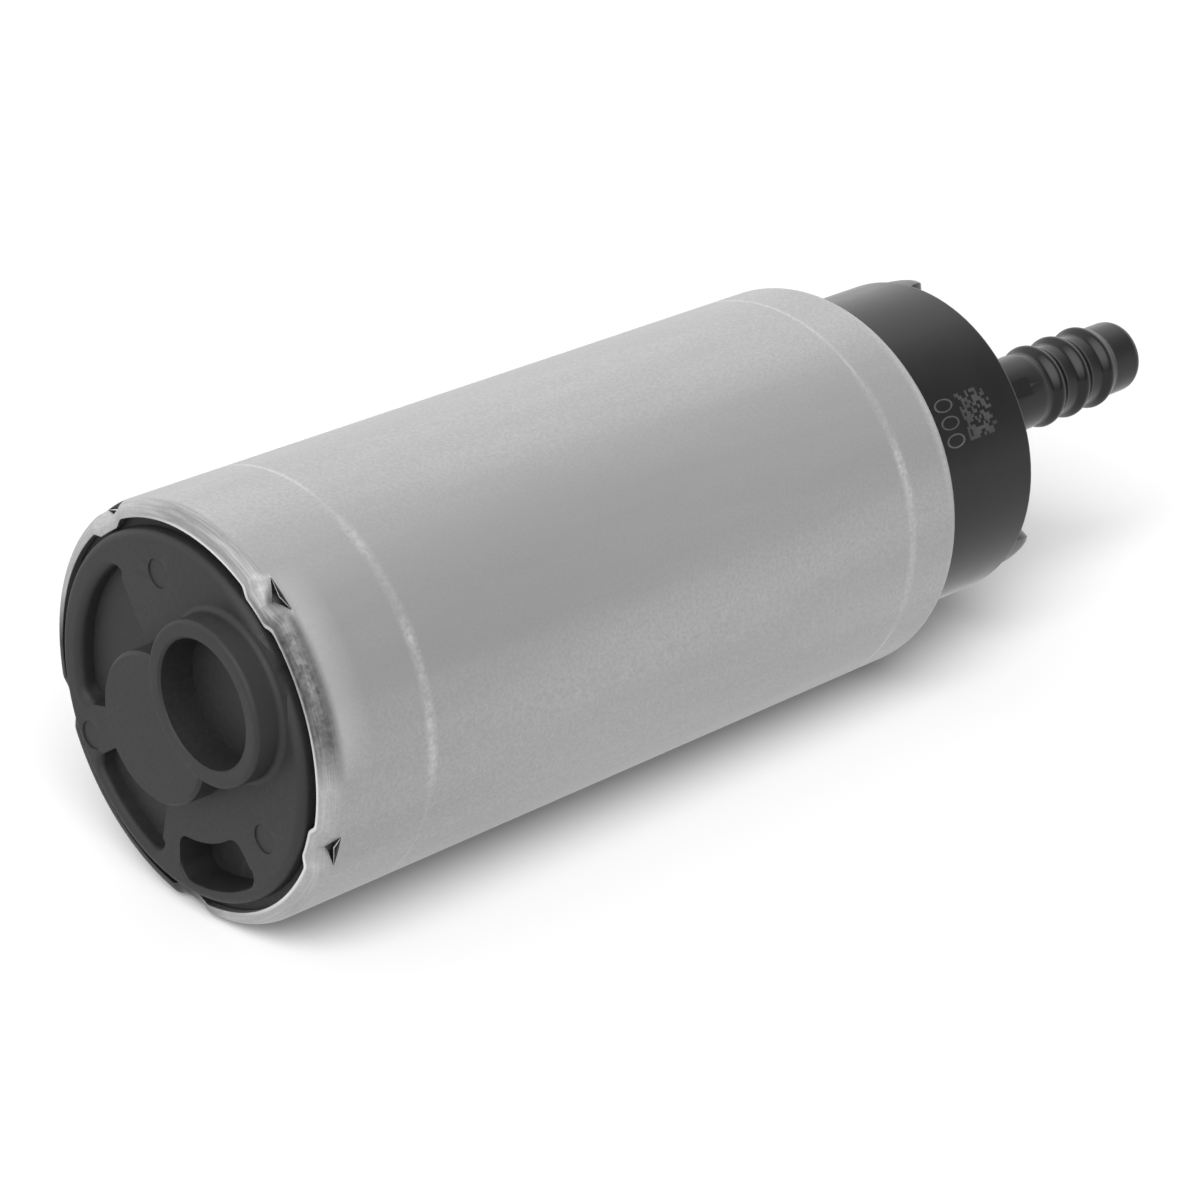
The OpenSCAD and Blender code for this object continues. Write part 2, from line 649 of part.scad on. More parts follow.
// Bearing holder: a ring on the can's step, a hub for the rear bush, and four spokes
module bearing_holder() color("#d8d3c4") along_port() difference() {
  union() {
    translate([0, 0, out_step_x + seat]) tube(seat_r, cavity_r, holder_t - 2 * seat);
    translate([0, 0, rear_bush_x]) cylinder(d = rear_bush_od + 2, h = cap_x - seat - rear_bush_x);
    for (a = [-35, 35, 145, 215]) rotate([0, 0, a])
      translate([1, -1.4, out_step_x + seat]) cube([cavity_r, 2.8, holder_t - 2 * seat]);
  }
  translate([0, 0, rear_bush_x - 1]) cylinder(d = rear_bush_od + 2 * seat, h = bush_len + 1 + seat);
  translate([0, 0, rear_bush_x]) cylinder(r = shaft_r + 0.5, h = bush_len + 9);
}

module rear_bush() color("#6f6258") along(rear_bush_x)
  tube(rear_bush_od / 2, shaft_r + running, bush_len);

// Outlet cap: flange under the can's roll, side, end, wells, valve tubes, nozzle and socket
module cap_shell() {
  roll = outlet_roll - end_wall - seat;
  groove = cap_x + 0.8;
  groove_r = seat_r - seal_d - seat;
  rotate_extrude($fn = 128) polygon(concat(
    [[cavity_r, cap_x], [seat_r, cap_x], [seat_r, groove],
     [groove_r, groove], [groove_r, groove + seal_d + 0.2],
     [seat_r, groove + seal_d + 0.2]],
    arc(can_r - outlet_roll, can_len - outlet_roll, roll, 0, 90, 8),
    [[cap_r, can_len - end_wall - seat]],
    arc(cap_r - cap_edge, cap_end - cap_edge, cap_edge, 0, 90, 6),
    [[cavity_r, cap_end]]));
  translate([0, 0, inner_end]) cylinder(r = cavity_r + 0.5, h = cap_end - inner_end - cap_recess);
}

module cap_seal() color("#222222") along(cap_x + 0.9 + seal_d / 2)
  rotate_extrude($fn = 128) translate([seat_r - seal_d / 2, 0]) circle(d = seal_d, $fn = 24);

module lug(side) rotate([0, 0, side * lug_angle]) intersection() {
  edge = 0.7;
  corner = 1.3;
  top = cap_end + lug_h;
  rotate_extrude() polygon(concat([[cavity_r, inner_end], [cap_r - lug_inset, inner_end]],
    arc(cap_r - lug_inset - edge, top - edge, edge, 0, 90, 5), [[cavity_r, top]]));
  translate([cavity_r, 0, 0]) rotate([90, 0, 90]) linear_extrude(cap_wall + 1)
    polygon(concat([[-lug_w / 2, inner_end], [lug_w / 2, inner_end]],
      arc(lug_w / 2 - corner, top - corner, corner, 0, 90, 6),
      arc(corner - lug_w / 2, top - corner, corner, 90, 180, 6)));
}

// Outline of one barb from its crest back to the cap and on to the tip
function barb_points(x) = [for (i = [0:12]) let (s = -1 + i / 6,
    run = s < 0 ? 1.2 : 1.8, lift = (barb_d - tip_d) / 2)
  [tip_d / 2 + lift * (1 + cos(180 * s)) / 2, x + s * run]];

module nozzle() {
  foot = 1.3;
  foot_r = neck_d / 2 + foot;
  end_edge = 1.2;
  translate([0, -rib_w / 2, inner_end]) cube([neck_d / 2 + rib_h, rib_w, cap_end_t + rib_len]);
  rotate_extrude() polygon(concat(
    [[0, inner_end], [foot_r, inner_end]],
    arc(foot_r, cap_end + foot - cap_recess, foot, 270, 180, 5),
    [[neck_d / 2, first_barb - 2.6]],
    [for (i = [0:barb_count - 1]) each barb_points(first_barb + i * barb_pitch)],
    arc(tip_d / 2 - end_edge, nozzle_end - end_edge, end_edge, 0, 90, 5),
    [[0, nozzle_end]]));
}

module well(grow, x0, x1) translate([-brush_w / 2 - grow, brush_offset - brush_t / 2 - grow, x0])
  cube([brush_w + 2 * grow, brush_t + 2 * grow, x1 - x0]);

module socket_outline(grow) {
  c = 1.2 + grow;
  x = socket_w / 2 + grow - c;
  y = socket_l / 2 + grow - c;
  polygon(concat(arc(x, y, c, 0, 90, 5), arc(-x, y, c, 90, 180, 5),
                 arc(-x, -y, c, 180, 270, 5), arc(x, -y, c, 270, 360, 5)));
}

module latch() translate([socket_w / 2 + shroud_wall - 0.2, 0, shroud_end - 5.6])
  rotate([90, 0, 0]) linear_extrude(4, center = true)
    polygon([[0, 0], [1.2, 0], [1.2, 0.6], [0, 3.4]]);

module cap_solids() {
  cap_shell();
  for (s = [-1, 1]) lug(s);
  intersection() {
    for (s = [0, 1]) mirror([0, s, 0]) well(brush_play + well_wall, well_x, inner_end + 1);
    cylinder(r = cavity_r + 0.5, h = cap_end);
  }
  translate([port_offset, 0, 0]) {
    translate([0, 0, valve_x]) cylinder(d = chamber_bore + 2 * chamber_tube_wall,
                                        h = inner_end - valve_x + 1);
    nozzle();
  }
  intersection() {
    rotate([0, 0, relief_angle]) translate([relief_offset, 0, relief_x])
      cylinder(d = relief_bore + 2.2, h = cap_end - relief_x - 0.2);
    cylinder(r = cavity_r + 0.5, h = cap_end);
  }
  translate([-socket_offset, 0, 0]) {
    translate([0, 0, inner_end]) linear_extrude(shroud_end - inner_end)
      socket_outline(shroud_wall);
    latch();
  }
}

module cap_hollows() {
  for (s = [0, 1]) mirror([0, s, 0]) {
    well(brush_play, well_x - 1, spring_end);
    translate([-lead_d / 2 - 0.3, brush_offset, well_x - 1])
      cube([lead_d + 0.6, brush_t / 2 + 2.6, spring_end - 6 - well_x]);
  }
  translate([port_offset, 0, 0]) {
    translate([0, 0, valve_x - 1]) cylinder(d = chamber_bore, h = chamber_len + 1);
    translate([0, 0, valve_end - 1]) cylinder(d = nozzle_bore, h = nozzle_end);
  }
  rotate([0, 0, relief_angle]) translate([relief_offset, 0, 0]) {
    translate([0, 0, relief_x - 1]) cylinder(d = relief_bore, h = inner_end - relief_x + 0.4);
    cylinder(d = relief_hole + 0.4, h = cap_end + 5);
  }
  translate([-socket_offset, 0, 0]) {
    translate([0, 0, socket_floor]) linear_extrude(socket_depth + 1) socket_outline(0);
    for (s = [-1, 1]) translate([-terminal_w / 2 - seat, s * terminal_offset - terminal_t / 2 - seat,
                                 inner_end - 1])
      cube([terminal_w + 2 * seat, terminal_t + 2 * seat, cap_end - inner_end + 4]);
  }
}

module outlet_cap() color("#2b2b2c") along_port() difference() {
  cap_solids();
  cap_hollows();
}

// Brush gear: carbon brushes in their wells, springs behind them, leads out of the side
module at_brush(side) along_port() mirror([0, side > 0 ? 0 : 1, 0]) children();
module brush() translate([-brush_w / 2, brush_offset - brush_t / 2, brush_x])
  cube([brush_w, brush_t, brush_len]);
module brush_a() color("#343538") at_brush(1) brush();
module brush_b() color("#343538") at_brush(-1) brush();

module brush_spring() translate([0, brush_offset, spring_x + seat])
  spring("brush spring", brush_t / 2 - brush_wire / 2 - 0.2,
         spring_end - spring_x - 2 * seat, brush_turns, brush_wire);
module brush_spring_a() color("#c4c7ca") at_brush(1) brush_spring();
module brush_spring_b() color("#c4c7ca") at_brush(-1) brush_spring();

module brush_lead() {
  out = brush_offset + brush_t / 2;
  bow = (cavity_r - out - lead_d / 2) * 0.6;
  side = -(brush_w / 2 + brush_play + well_wall + lead_d);
  coil = choke_at[0] + coil_r;
  x = spring_x - 1.6;
  wire(smooth([[0, out + 0.12, x], [0, out + 0.4 * bow, x + 0.1],
               [0.06 * side, out + 0.8 * bow, x + 0.6], [0.34 * side, out + bow, x + 1.3],
               [0.76 * side, out + 0.88 * bow, x + 1.4], [side - 0.05, out + 0.32 * bow, x + 1.2],
               [side - 0.2, choke_at[1] + 2, x + 1], [side - 0.05, choke_at[1] - 0.4, x + 1.2],
               [side - 0.45, choke_at[1] - 1.8, x + 2.2],
               [coil + 0.19, choke_at[1] - 1.4, choke_x + 0.7],
               [coil + 0.14, choke_at[1] - 0.1, choke_x + 1]], 3), lead_d / 2, 6);
}
module brush_lead_a() color("#b3693a") at_brush(1) brush_lead();
module brush_lead_b() color("#b3693a") at_brush(-1) brush_lead();

module choke_rod() translate([choke_at[0], choke_at[1], choke_x]) cylinder(d = choke_d, h = choke_len);
module choke_rod_a() color("#4a4745") at_brush(1) choke_rod();
module choke_rod_b() color("#4a4745") at_brush(-1) choke_rod();

module choke_coil() {
  translate([choke_at[0], choke_at[1], choke_x + 1])
    wound("choke coil", coil_r, choke_len - 1 - choke_wire / 2, choke_turns, choke_wire);
}
module choke_coil_a() color("#b5652f") at_brush(1) choke_coil();
module choke_coil_b() color("#b5652f") at_brush(-1) choke_coil();

// Terminals: blades that stand in the socket, with tails bent towards the chokes inside
module terminal() translate([-socket_offset, terminal_offset - terminal_t / 2, 0]) {
  tail_x = choke_x + choke_len + seat;
  reach = terminal_w / 2 + socket_offset + choke_at[0] + choke_d / 2 + choke_wire + 0.5;
  tip_edge = 0.8;
  translate([-terminal_w / 2, 0, tail_x]) cube([terminal_w, terminal_t, shroud_end - 1.6 - tail_x]);
  translate([-terminal_w / 2 + tip_edge, 0, shroud_end - 1.7])
    cube([terminal_w - 2 * tip_edge, terminal_t, 0.6]);
  translate([-terminal_w / 2, 0, tail_x])
    cube([reach, choke_at[1] - terminal_offset + 0.9, terminal_t]);
}
module terminal_a() color("#c8b27a") at_brush(1) terminal();
module terminal_b() color("#c8b27a") at_brush(-1) terminal();

// Check valve: a sprung poppet with a rubber face on a pressed seat, guided by its stem
module check_seat() color("#c9a24f") on_port(valve_x + seat)
  tube(chamber_bore / 2 - seat, seat_hole / 2, check_seat_t - seat);

check_head_r = chamber_bore / 2 - 0.7;
check_seal_t = 0.9;
check_head_t = 1.2;
stem_r = 1.1;

module check_seal() color("#1f1f20") on_port(check_x + seat)
  tube(check_head_r, stem_r + 0.7 + seat, check_seal_t);

module check_poppet() color("#ece9e0") on_port(check_x + seat) {
  cylinder(r = stem_r + 0.7, h = check_seal_t + 0.1);
  translate([0, 0, check_seal_t + 0.01]) cylinder(r = check_head_r, h = check_head_t);
  cylinder(r = stem_r, h = guide_x + guide_t + 0.6 - check_x);
}

spring_from = check_x + seat + check_seal_t + check_head_t + 0.03;
module check_spring() color("#c4c7ca") on_port(spring_from)
  spring("check spring", stem_r + 1.2, guide_x - spring_from - seat, check_turns, check_wire);

module check_guide() color("#d9d6cc") on_port(guide_x) difference() {
  tube(chamber_bore / 2 - seat, stem_r + running, guide_t);
  for (a = [0:120:240]) rotate([0, 0, a]) translate([0, 0, -1]) linear_extrude(guide_t + 2)
    polygon(sector(stem_r + 1.6, chamber_bore / 2 - 0.8, 18, 102, 0.4, 0.3));
}

// Relief valve: a sprung ball on a seat, venting through the cap's end
module on_relief(x) along_port(x) rotate([0, 0, relief_angle]) translate([relief_offset, 0, 0])
  children();
module relief_seat() color("#c9a24f") on_relief(relief_x + seat)
  tube(relief_bore / 2 - seat, relief_hole / 2, relief_seat_t - seat);
module relief_ball() color("#d5d7d9") on_relief(ball_x) sphere(r = ball_r);
module relief_spring() color("#c4c7ca") on_relief(ball_x + ball_r * 0.75)
  spring("relief spring", ball_r - 0.35, inner_end - 0.65 - ball_x - ball_r * 0.75,
         relief_turns, relief_wire);

can();
inlet_cover();
thrust_pin();
discharge_plate();
front_bush();
rear_bush();
bearing_holder();
outlet_cap();
cap_seal();
magnet_a();
magnet_b();
magnet_clips();
shaft();
impeller();
armature_core();
windings();
commutator_hub();
commutator_segments();
front_spacer();
rear_spacer();
brush_a();
brush_b();
brush_spring_a();
brush_spring_b();
brush_lead_a();
brush_lead_b();
choke_rod_a();
choke_rod_b();
choke_coil_a();
choke_coil_b();
terminal_a();
terminal_b();
check_seat();
check_poppet();
check_seal();
check_spring();
check_guide();
relief_seat();
relief_ball();
relief_spring();
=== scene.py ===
# %% [markdown]
# # An in-tank fuel pump on a white table
# This lesson dresses the CAD model of a turbine fuel pump. Three pieces are seen from outside:
# the steel can, the grey inlet cover and the black outlet cap. They get the most work. The
# pieces inside keep their solids and get materials, and the wound wires get round sections.

import json
import math

import bmesh
import bpy
from mathutils import Matrix, Vector


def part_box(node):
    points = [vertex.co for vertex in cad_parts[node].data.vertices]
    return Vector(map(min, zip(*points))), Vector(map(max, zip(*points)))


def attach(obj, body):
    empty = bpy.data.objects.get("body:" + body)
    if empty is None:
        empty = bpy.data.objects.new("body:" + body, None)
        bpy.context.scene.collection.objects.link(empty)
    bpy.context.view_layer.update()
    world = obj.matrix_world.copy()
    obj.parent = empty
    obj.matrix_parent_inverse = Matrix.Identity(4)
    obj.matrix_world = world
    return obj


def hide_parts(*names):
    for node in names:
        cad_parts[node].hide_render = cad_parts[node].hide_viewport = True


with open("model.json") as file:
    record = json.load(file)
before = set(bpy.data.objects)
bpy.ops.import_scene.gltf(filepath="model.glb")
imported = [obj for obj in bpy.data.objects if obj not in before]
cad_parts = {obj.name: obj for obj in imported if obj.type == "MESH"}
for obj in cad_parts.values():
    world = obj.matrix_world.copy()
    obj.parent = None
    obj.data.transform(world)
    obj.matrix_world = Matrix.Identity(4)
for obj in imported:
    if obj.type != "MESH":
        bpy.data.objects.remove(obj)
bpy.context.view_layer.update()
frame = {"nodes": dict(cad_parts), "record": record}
record = frame["record"]
MM = 0.001

# %% [markdown]
# The camera comes first, because every later choice is judged through it. The photograph was
# taken with a long lens from the inlet end, 25 degrees above the table. A long lens keeps the two
# ends of the can nearly the same size. The numbers come from fitting a camera to the rims of the
# can, so the view needs no shift.

# %% Camera
CAMERA_AT = Vector((-0.22690, -0.25384, 0.15717))
LOOK = Vector((0.61909, 0.66183, -0.42275))
camera_data = bpy.data.cameras.new("camera")
camera_data.sensor_width = 36.0
camera_data.lens = 109.09
camera_data.clip_start = 0.01
camera = bpy.data.objects.new("camera", camera_data)
camera.location = CAMERA_AT
camera.rotation_euler = LOOK.to_track_quat("-Z", "Y").to_euler()
bpy.context.scene.collection.objects.link(camera)
bpy.context.scene.camera = camera
print("camera to pump:", round(CAMERA_AT.length, 3), "m")

# %% [markdown]
# Colours are easiest to read as the hex values of a paint chart, but shaders want linear light.
# One function turns one into the other. A second small function adds a node, sets its values and
# makes its links, so that a material reads like a recipe.

# %% Helpers for colours and nodes
def linear(hex_code):
    """A colour such as "#B8B9BA" in linear light, with alpha."""
    parts = [int(hex_code[i:i + 2], 16) / 255 for i in (1, 3, 5)]
    return tuple(c / 12.92 if c < 0.04045 else ((c + 0.055) / 1.055) ** 2.4
                 for c in parts) + (1.0,)


def add(tree, kind, *inputs, **named):
    """Adds a node such as "Math.ADD" and gives its first open output.

    The inputs fill its open sockets in order. A name with a capital is a socket, any other one
    is a setting. A value that is another node's output is linked."""
    kind, _, mode = kind.partition(".")
    made = tree.nodes.new("ShaderNode" + kind)
    if mode:
        setattr(made, "data_type" if kind == "Mix" else "operation", mode)
    for name in [name for name in named if name[0].islower()]:
        setattr(made, name, named.pop(name))
    values = list(zip([socket for socket in made.inputs if socket.enabled], inputs))
    values += [(made.inputs[name], value) for name, value in named.items()]
    for socket, value in values:
        if isinstance(value, bpy.types.NodeSocket):
            tree.links.new(value, socket)
        else:
            socket.default_value = value
    return next((output for output in made.outputs if output.enabled), None)


def lumps(size_mm):
    """The scale of a noise whose lumps are about size_mm across."""
    return 0.6 / (size_mm * MM)


print("a middle grey in linear light:", round(linear("#808080")[0], 3))

# %% [markdown]
# Three steps come back in several finishes, so they are functions too. The first opens a material
# and finds the point's place on its piece. The second measures a distance from two sides. The
# last hands the tone, the roughness and a shallow relief to the shader.

# %% Helpers for finishes
def surface(name, **constants):
    """A new material with its shader, and the point's place on the object in metres."""
    material = bpy.data.materials.new(name)
    material.use_nodes = True
    tree = material.node_tree
    shader = tree.nodes["Principled BSDF"]
    for socket, value in constants.items():
        shader.inputs[socket.replace("_", " ")].default_value = value
    place = add(tree, "TexCoord").node.outputs["Object"]
    return material, tree, shader, place


def hypotenuse(tree, a, b):
    """The long side of a right triangle with the sides a and b."""
    squares = [add(tree, "Math.POWER", side, 2.0) for side in (a, b)]
    return add(tree, "Math.SQRT", add(tree, "Math.ADD", *squares))


def dress(tree, shader, tone, rough, height, depth_mm):
    """Gives the shader its tone, its roughness and a relief depth_mm deep."""
    relief = add(tree, "Bump", Height=height, Distance=depth_mm * MM, Strength=1.0)
    for socket, value in (("Base Color", tone), ("Roughness", rough), ("Normal", relief)):
        tree.links.new(value, shader.inputs[socket])


print("noise scale for lumps of 1 mm:", round(lumps(1.0)))

# %% [markdown]
# The can's sizes stand before its finish, because the finish follows them too: the marks of the
# forming tools lie where the tools worked. All are in millimetres, and x runs from the lip.

# %% Sizes of the can and its stakes
LIP_X = -43.85
CAN_R, LIP_ROLL = 21.5, 1.66
BEADS = (LIP_X + 12.76, LIP_X + 79.36)
STAKE_FIRST, STAKE_COUNT = 56.0, 5
# Where the punch shears the sheet, half the length of that line, and how far its V runs ahead.
SHEAR_X, SHEAR_HALF, V_AHEAD = 2.1, 2.0, 0.52
# How deep the V lies, how much deeper the torn wall goes, and how thin that wall is along x.
V_DEPTH, TORN_DEPTH, WALL = 1.2, 0.1, 0.03
# How far the lip's edge is pushed in, half the width of the even push, and where it ends.
EDGE_PUSH, EDGE_FLAT, EDGE_END = 0.72, 1.4, 2.9
print("can:", 2 * CAN_R, "mm wide, bead lines at", [round(bead - LIP_X, 2) for bead in BEADS])

# %% [markdown]
# The can is deep-drawn steel with a zinc-nickel plating. Plating on rolled sheet is neither
# brushed nor polished: it has a dull satin sheen, a very fine grain, and faint cloudy patches a
# few millimetres wide. Drawing the sheet has stretched the patches along the can.

# %% Plated steel for the can
can_finish, tree, shader, place = surface("plated_deep_drawn_steel", Metallic=1.0)
across = add(tree, "SeparateXYZ", place).node.outputs
x_mm = add(tree, "Math.MULTIPLY", across["X"], 1 / MM)
turned = add(tree, "Math.ARCTAN2", across["Z"], across["Y"])
drawn = add(tree, "VectorMath.MULTIPLY", place, (0.12, 1.0, 1.0))
clouds = add(tree, "TexNoise", drawn, lumps(4.0), 4.0)
grain = add(tree, "TexNoise", place, lumps(0.2), 2.0)
cloudy = add(tree, "MapRange", clouds, 0.35, 0.65)
tone = add(tree, "Mix.RGBA", cloudy, linear("#BBBBBB"), linear("#C4C4C4"))
grainy = add(tree, "MapRange", grain, 0.3, 0.7, 0.0, 0.5)
tone = add(tree, "Mix.RGBA", grainy, tone, linear("#AEAEAE"))
print("plain steel:", len(tree.nodes), "nodes")

# %% [markdown]
# Two bright lines run round the can where its wall steps inside. The forming tool scuffed a thin
# core into each, all the way round. Near one angle a wide smear is added, a painted highlight where
# the step catches the light, and both are broken up by noise.

# %% Scuffed lines and painted highlights at the steps of the wall
def near_angle(degrees, full, none):
    """1 within full degrees of an angle on the can, 0 beyond none degrees of it."""
    toward = add(tree, "Math.COSINE", add(tree, "Math.SUBTRACT", turned, math.radians(degrees)))
    return add(tree, "MapRange", toward, math.cos(math.radians(none)),
               math.cos(math.radians(full)))


scuffs = add(tree, "TexNoise", place, lumps(0.3), 4.0, 0.7)
breaks = add(tree, "TexNoise", place, lumps(5.0), 2.0)
for bead, bright_at, bright_to, fades_at in zip(BEADS, (152, 168), (14, 16), (46, 44)):
    off = add(tree, "Math.ABSOLUTE", add(tree, "Math.SUBTRACT", x_mm, bead))
    core = add(tree, "Math.MULTIPLY", add(tree, "MapRange", off, 0.10, 0.30, 1.0, 0.0),
               add(tree, "MapRange", scuffs, 0.35, 0.6, 0.3, 1.0))
    # The wide smear near one angle is a painted highlight.
    bead_highlight = add(tree, "Math.MULTIPLY", add(tree, "MapRange", off, 0.2, 0.8, 1.0, 0.0),
                add(tree, "MapRange", scuffs, 0.36, 0.62, 0.1, 1.0))
    bead_highlight = add(tree, "Math.MULTIPLY", bead_highlight, near_angle(bright_at, bright_to, fades_at))
    scuff_and_highlight = add(tree, "Math.MAXIMUM", add(tree, "Math.MULTIPLY", core, 0.4), bead_highlight)
    scuff_and_highlight = add(tree, "Math.MULTIPLY", scuff_and_highlight, add(tree, "MapRange", breaks, 0.42, 0.58, 0.3, 1.0))
    tone = add(tree, "Mix.RGBA", scuff_and_highlight, tone, linear("#F0F0F0"))
print("with its two lines:", len(tree.nodes), "nodes")

# %% [markdown]
# A wheel rolled the lip over and left fine bright lines round it. Over them lie a greyer band
# near 110 degrees, a darker mottled band that is painted dark reflection on the side facing the
# camera, and a painted highlight behind them on the same side. Each mark is a share of its own
# tone, and they are laid over one another.

# %% Wheel marks, painted dark reflection and painted highlight on the rolled lip
from_lip = add(tree, "Math.SUBTRACT", x_mm, LIP_X)
ring_place = add(tree, "CombineXYZ", add(tree, "Math.MULTIPLY", from_lip, 6.0),
                 add(tree, "Math.MULTIPLY", turned, 4.0))
rings = add(tree, "TexNoise", ring_place, 1.0, 3.0)
mottle_noise = add(tree, "TexNoise", place, lumps(0.5), 4.0, 0.7)
facing_camera = near_angle(152, 13, 28)
# A greyer band near 110 degrees, within two millimetres of the lip.
greyer_band = add(tree, "Math.MULTIPLY", near_angle(110, 20, 40),
             add(tree, "MapRange", from_lip, 0.9, 1.8, 0.8, 0.0))
# A darker mottled band on the side facing the camera: painted dark reflection.
painted_dark_reflection = add(tree, "Math.MULTIPLY", add(tree, "MapRange", from_lip, 1.1, 2.5, 1.0, 0.0),
             add(tree, "MapRange", mottle_noise, 0.35, 0.65, 0.7, 0.96))
painted_dark_reflection = add(tree, "Math.MULTIPLY", painted_dark_reflection, facing_camera)
lined = add(tree, "Math.MULTIPLY", add(tree, "MapRange", from_lip, 1.2, 2.6, 0.35, 0.0),
            add(tree, "MapRange", rings, 0.46, 0.62))
lined = add(tree, "Math.MULTIPLY", lined, add(tree, "MapRange", facing_camera, 0.0, 1.0, 1.0, 0.3))
behind = add(tree, "Math.MULTIPLY", add(tree, "MapRange", from_lip, 1.8, 2.6),
             add(tree, "MapRange", from_lip, 3.0, 6.0, 0.5, 0.0))
# A bright stretch behind the roll on the side facing the camera: a painted highlight.
painted_lip_highlight = add(tree, "Math.MULTIPLY", near_angle(150, 14, 30), behind)
for share, colour in ((greyer_band, "#8E8E8E"), (painted_dark_reflection, "#484848"), (lined, "#D4D4D4"),
                      (painted_lip_highlight, "#E4E4E4")):
    tone = add(tree, "Mix.RGBA", share, tone, linear(colour))
print("with the wheel's marks:", len(tree.nodes), "nodes")

# %% [markdown]
# A thin painted highlight runs along the lip's own edge. The line follows the edge into each
# stake, so the push of the punch is worked out here as it is for the mesh. On the side away from
# the camera the lip's front is painted dark, as painted shade of the gap behind the cover, and the
# line stops.

# %% The lip's edge, with its painted highlight and painted shade
pitch = 2 * math.pi / STAKE_COUNT
lap = add(tree, "Math.SUBTRACT", turned, math.radians(STAKE_FIRST))
lap = add(tree, "Math.ADD", add(tree, "Math.DIVIDE", lap, pitch), 0.5 + STAKE_COUNT)
lap = add(tree, "Math.SUBTRACT", add(tree, "Math.FRACT", lap), 0.5)
beside = add(tree, "Math.ABSOLUTE", add(tree, "Math.MULTIPLY", lap, pitch * CAN_R))
radius_mm = add(tree, "Math.MULTIPLY", hypotenuse(tree, across["Y"], across["Z"]), 1 / MM)
pushed = add(tree, "MapRange", beside, EDGE_FLAT, EDGE_END, EDGE_PUSH, 0.0,
             interpolation_type="SMOOTHSTEP")
above_edge = add(tree, "Math.SUBTRACT", add(tree, "Math.ADD", radius_mm, pushed),
                 CAN_R - LIP_ROLL)
# Painted shade: the lip's front darkened on the side away from the camera.
painted_gap_shade = add(tree, "Math.MULTIPLY", near_angle(-42, 45, 62),
                 add(tree, "MapRange", from_lip, 0.5, 1.3, 0.92, 0.0))
tone = add(tree, "Mix.RGBA", painted_gap_shade, tone, linear("#2E2E2E"))
# A painted highlight along the lip's edge, on the side towards the camera.
painted_rim_highlight = add(tree, "Math.MULTIPLY", add(tree, "MapRange", above_edge, 0.2, 0.42, 0.9, 0.0),
               add(tree, "Math.LESS_THAN", from_lip, 0.5))
painted_rim_highlight = add(tree, "Math.MULTIPLY", painted_rim_highlight, near_angle(160, 62, 92))
tone = add(tree, "Mix.RGBA", painted_rim_highlight, tone, linear("#F6F6F6"))
print("with the lip's edge:", len(tree.nodes), "nodes")

# %% [markdown]
# Each stake tears the sheet. The torn wall is painted grey at the top and dark further down, as
# painted shade in the pit, and a painted highlight draws a bright line along the burr. The level
# runs from 0 at the can's outside to 1 at the bottom of the V.

# %% Torn walls of the stakes, with painted shade and a painted highlight
middle = add(tree, "Math.SUBTRACT", 1.0, add(tree, "Math.DIVIDE", beside, SHEAR_HALF))
in_stake = add(tree, "Math.GREATER_THAN", middle, 0.0)
v_edge = add(tree, "Math.SUBTRACT", SHEAR_X, add(tree, "Math.MULTIPLY", middle, V_AHEAD))
in_wall = add(tree, "Math.MULTIPLY", add(tree, "Math.GREATER_THAN", from_lip, v_edge),
              add(tree, "Math.LESS_THAN", from_lip, SHEAR_X + 0.004))
sunk = add(tree, "Math.SUBTRACT", CAN_R, radius_mm)
torn = add(tree, "Math.MULTIPLY", add(tree, "Math.MULTIPLY", in_stake, in_wall),
           add(tree, "Math.GREATER_THAN", sunk, 0.04))
deepest = add(tree, "Math.MULTIPLY", add(tree, "Math.MAXIMUM", middle, 0.02), V_DEPTH)
level = add(tree, "Math.DIVIDE", sunk, deepest)
# Painted shade: the torn wall darkens deeper in the pit.
torn_wall_shade_and_highlight = add(tree, "Mix.RGBA", add(tree, "MapRange", level, 0.15, 0.45), linear("#5A5A5A"),
                linear("#222222"))
torn_wall_shade_and_highlight = add(tree, "Mix.RGBA", add(tree, "MapRange", level, 0.62, 0.66), torn_wall_shade_and_highlight,
                linear("#454545"))
# A painted highlight along the burr.
burr_highlight = add(tree, "Math.MULTIPLY", add(tree, "MapRange", level, 0.46, 0.50),
           add(tree, "MapRange", level, 0.60, 0.64, 1.0, 0.0))
torn_wall_shade_and_highlight = add(tree, "Mix.RGBA", burr_highlight, torn_wall_shade_and_highlight, linear("#FFFFFF"))
tone = add(tree, "Mix.RGBA", torn, tone, torn_wall_shade_and_highlight)
dress(tree, shader, tone, add(tree, "MapRange", grain, 0.3, 0.7, 0.46, 0.56),
      add(tree, "Math.ADD", grain, clouds), 0.003)
print("can finish:", len(tree.nodes), "nodes")

# %% [markdown]
# The inlet cover is moulded acetal with a mineral filler, which makes it charcoal grey and
# matte. Its mould was spark-eroded, so the surface has an even grain about a quarter of a
# millimetre wide.

# %% Charcoal plastic for the cover
cover_finish, tree, shader, place = surface("charcoal_filled_acetal", Specular_IOR_Level=0.42)
grain = add(tree, "TexNoise", place, lumps(0.28), 2.0)
flow = add(tree, "TexNoise", place, lumps(7.0), 3.0)
tone = add(tree, "Mix.RGBA", add(tree, "MapRange", grain, 0.3, 0.7), linear("#222222"),
           linear("#272727"))
tone = add(tree, "Mix.RGBA", add(tree, "MapRange", flow, 0.4, 0.7, 0.0, 0.4), tone,
           linear("#2B2B2B"))
dress(tree, shader, tone, add(tree, "MapRange", grain, 0.3, 0.7, 0.5, 0.62), grain, 0.012)
print("cover finish:", len(tree.nodes), "nodes")

# %% [markdown]
# The outlet cap is a glass-filled nylon: nearly black, smoother, and with a soft gloss that shows
# slow ripples where the melt cooled. Its side carries a laser mark. Here it is a generic one: a
# square of random cells and a row of three plain ciphers, with worn patches. The mark is placed
# by the distance from the lip and by the angle round the axis.

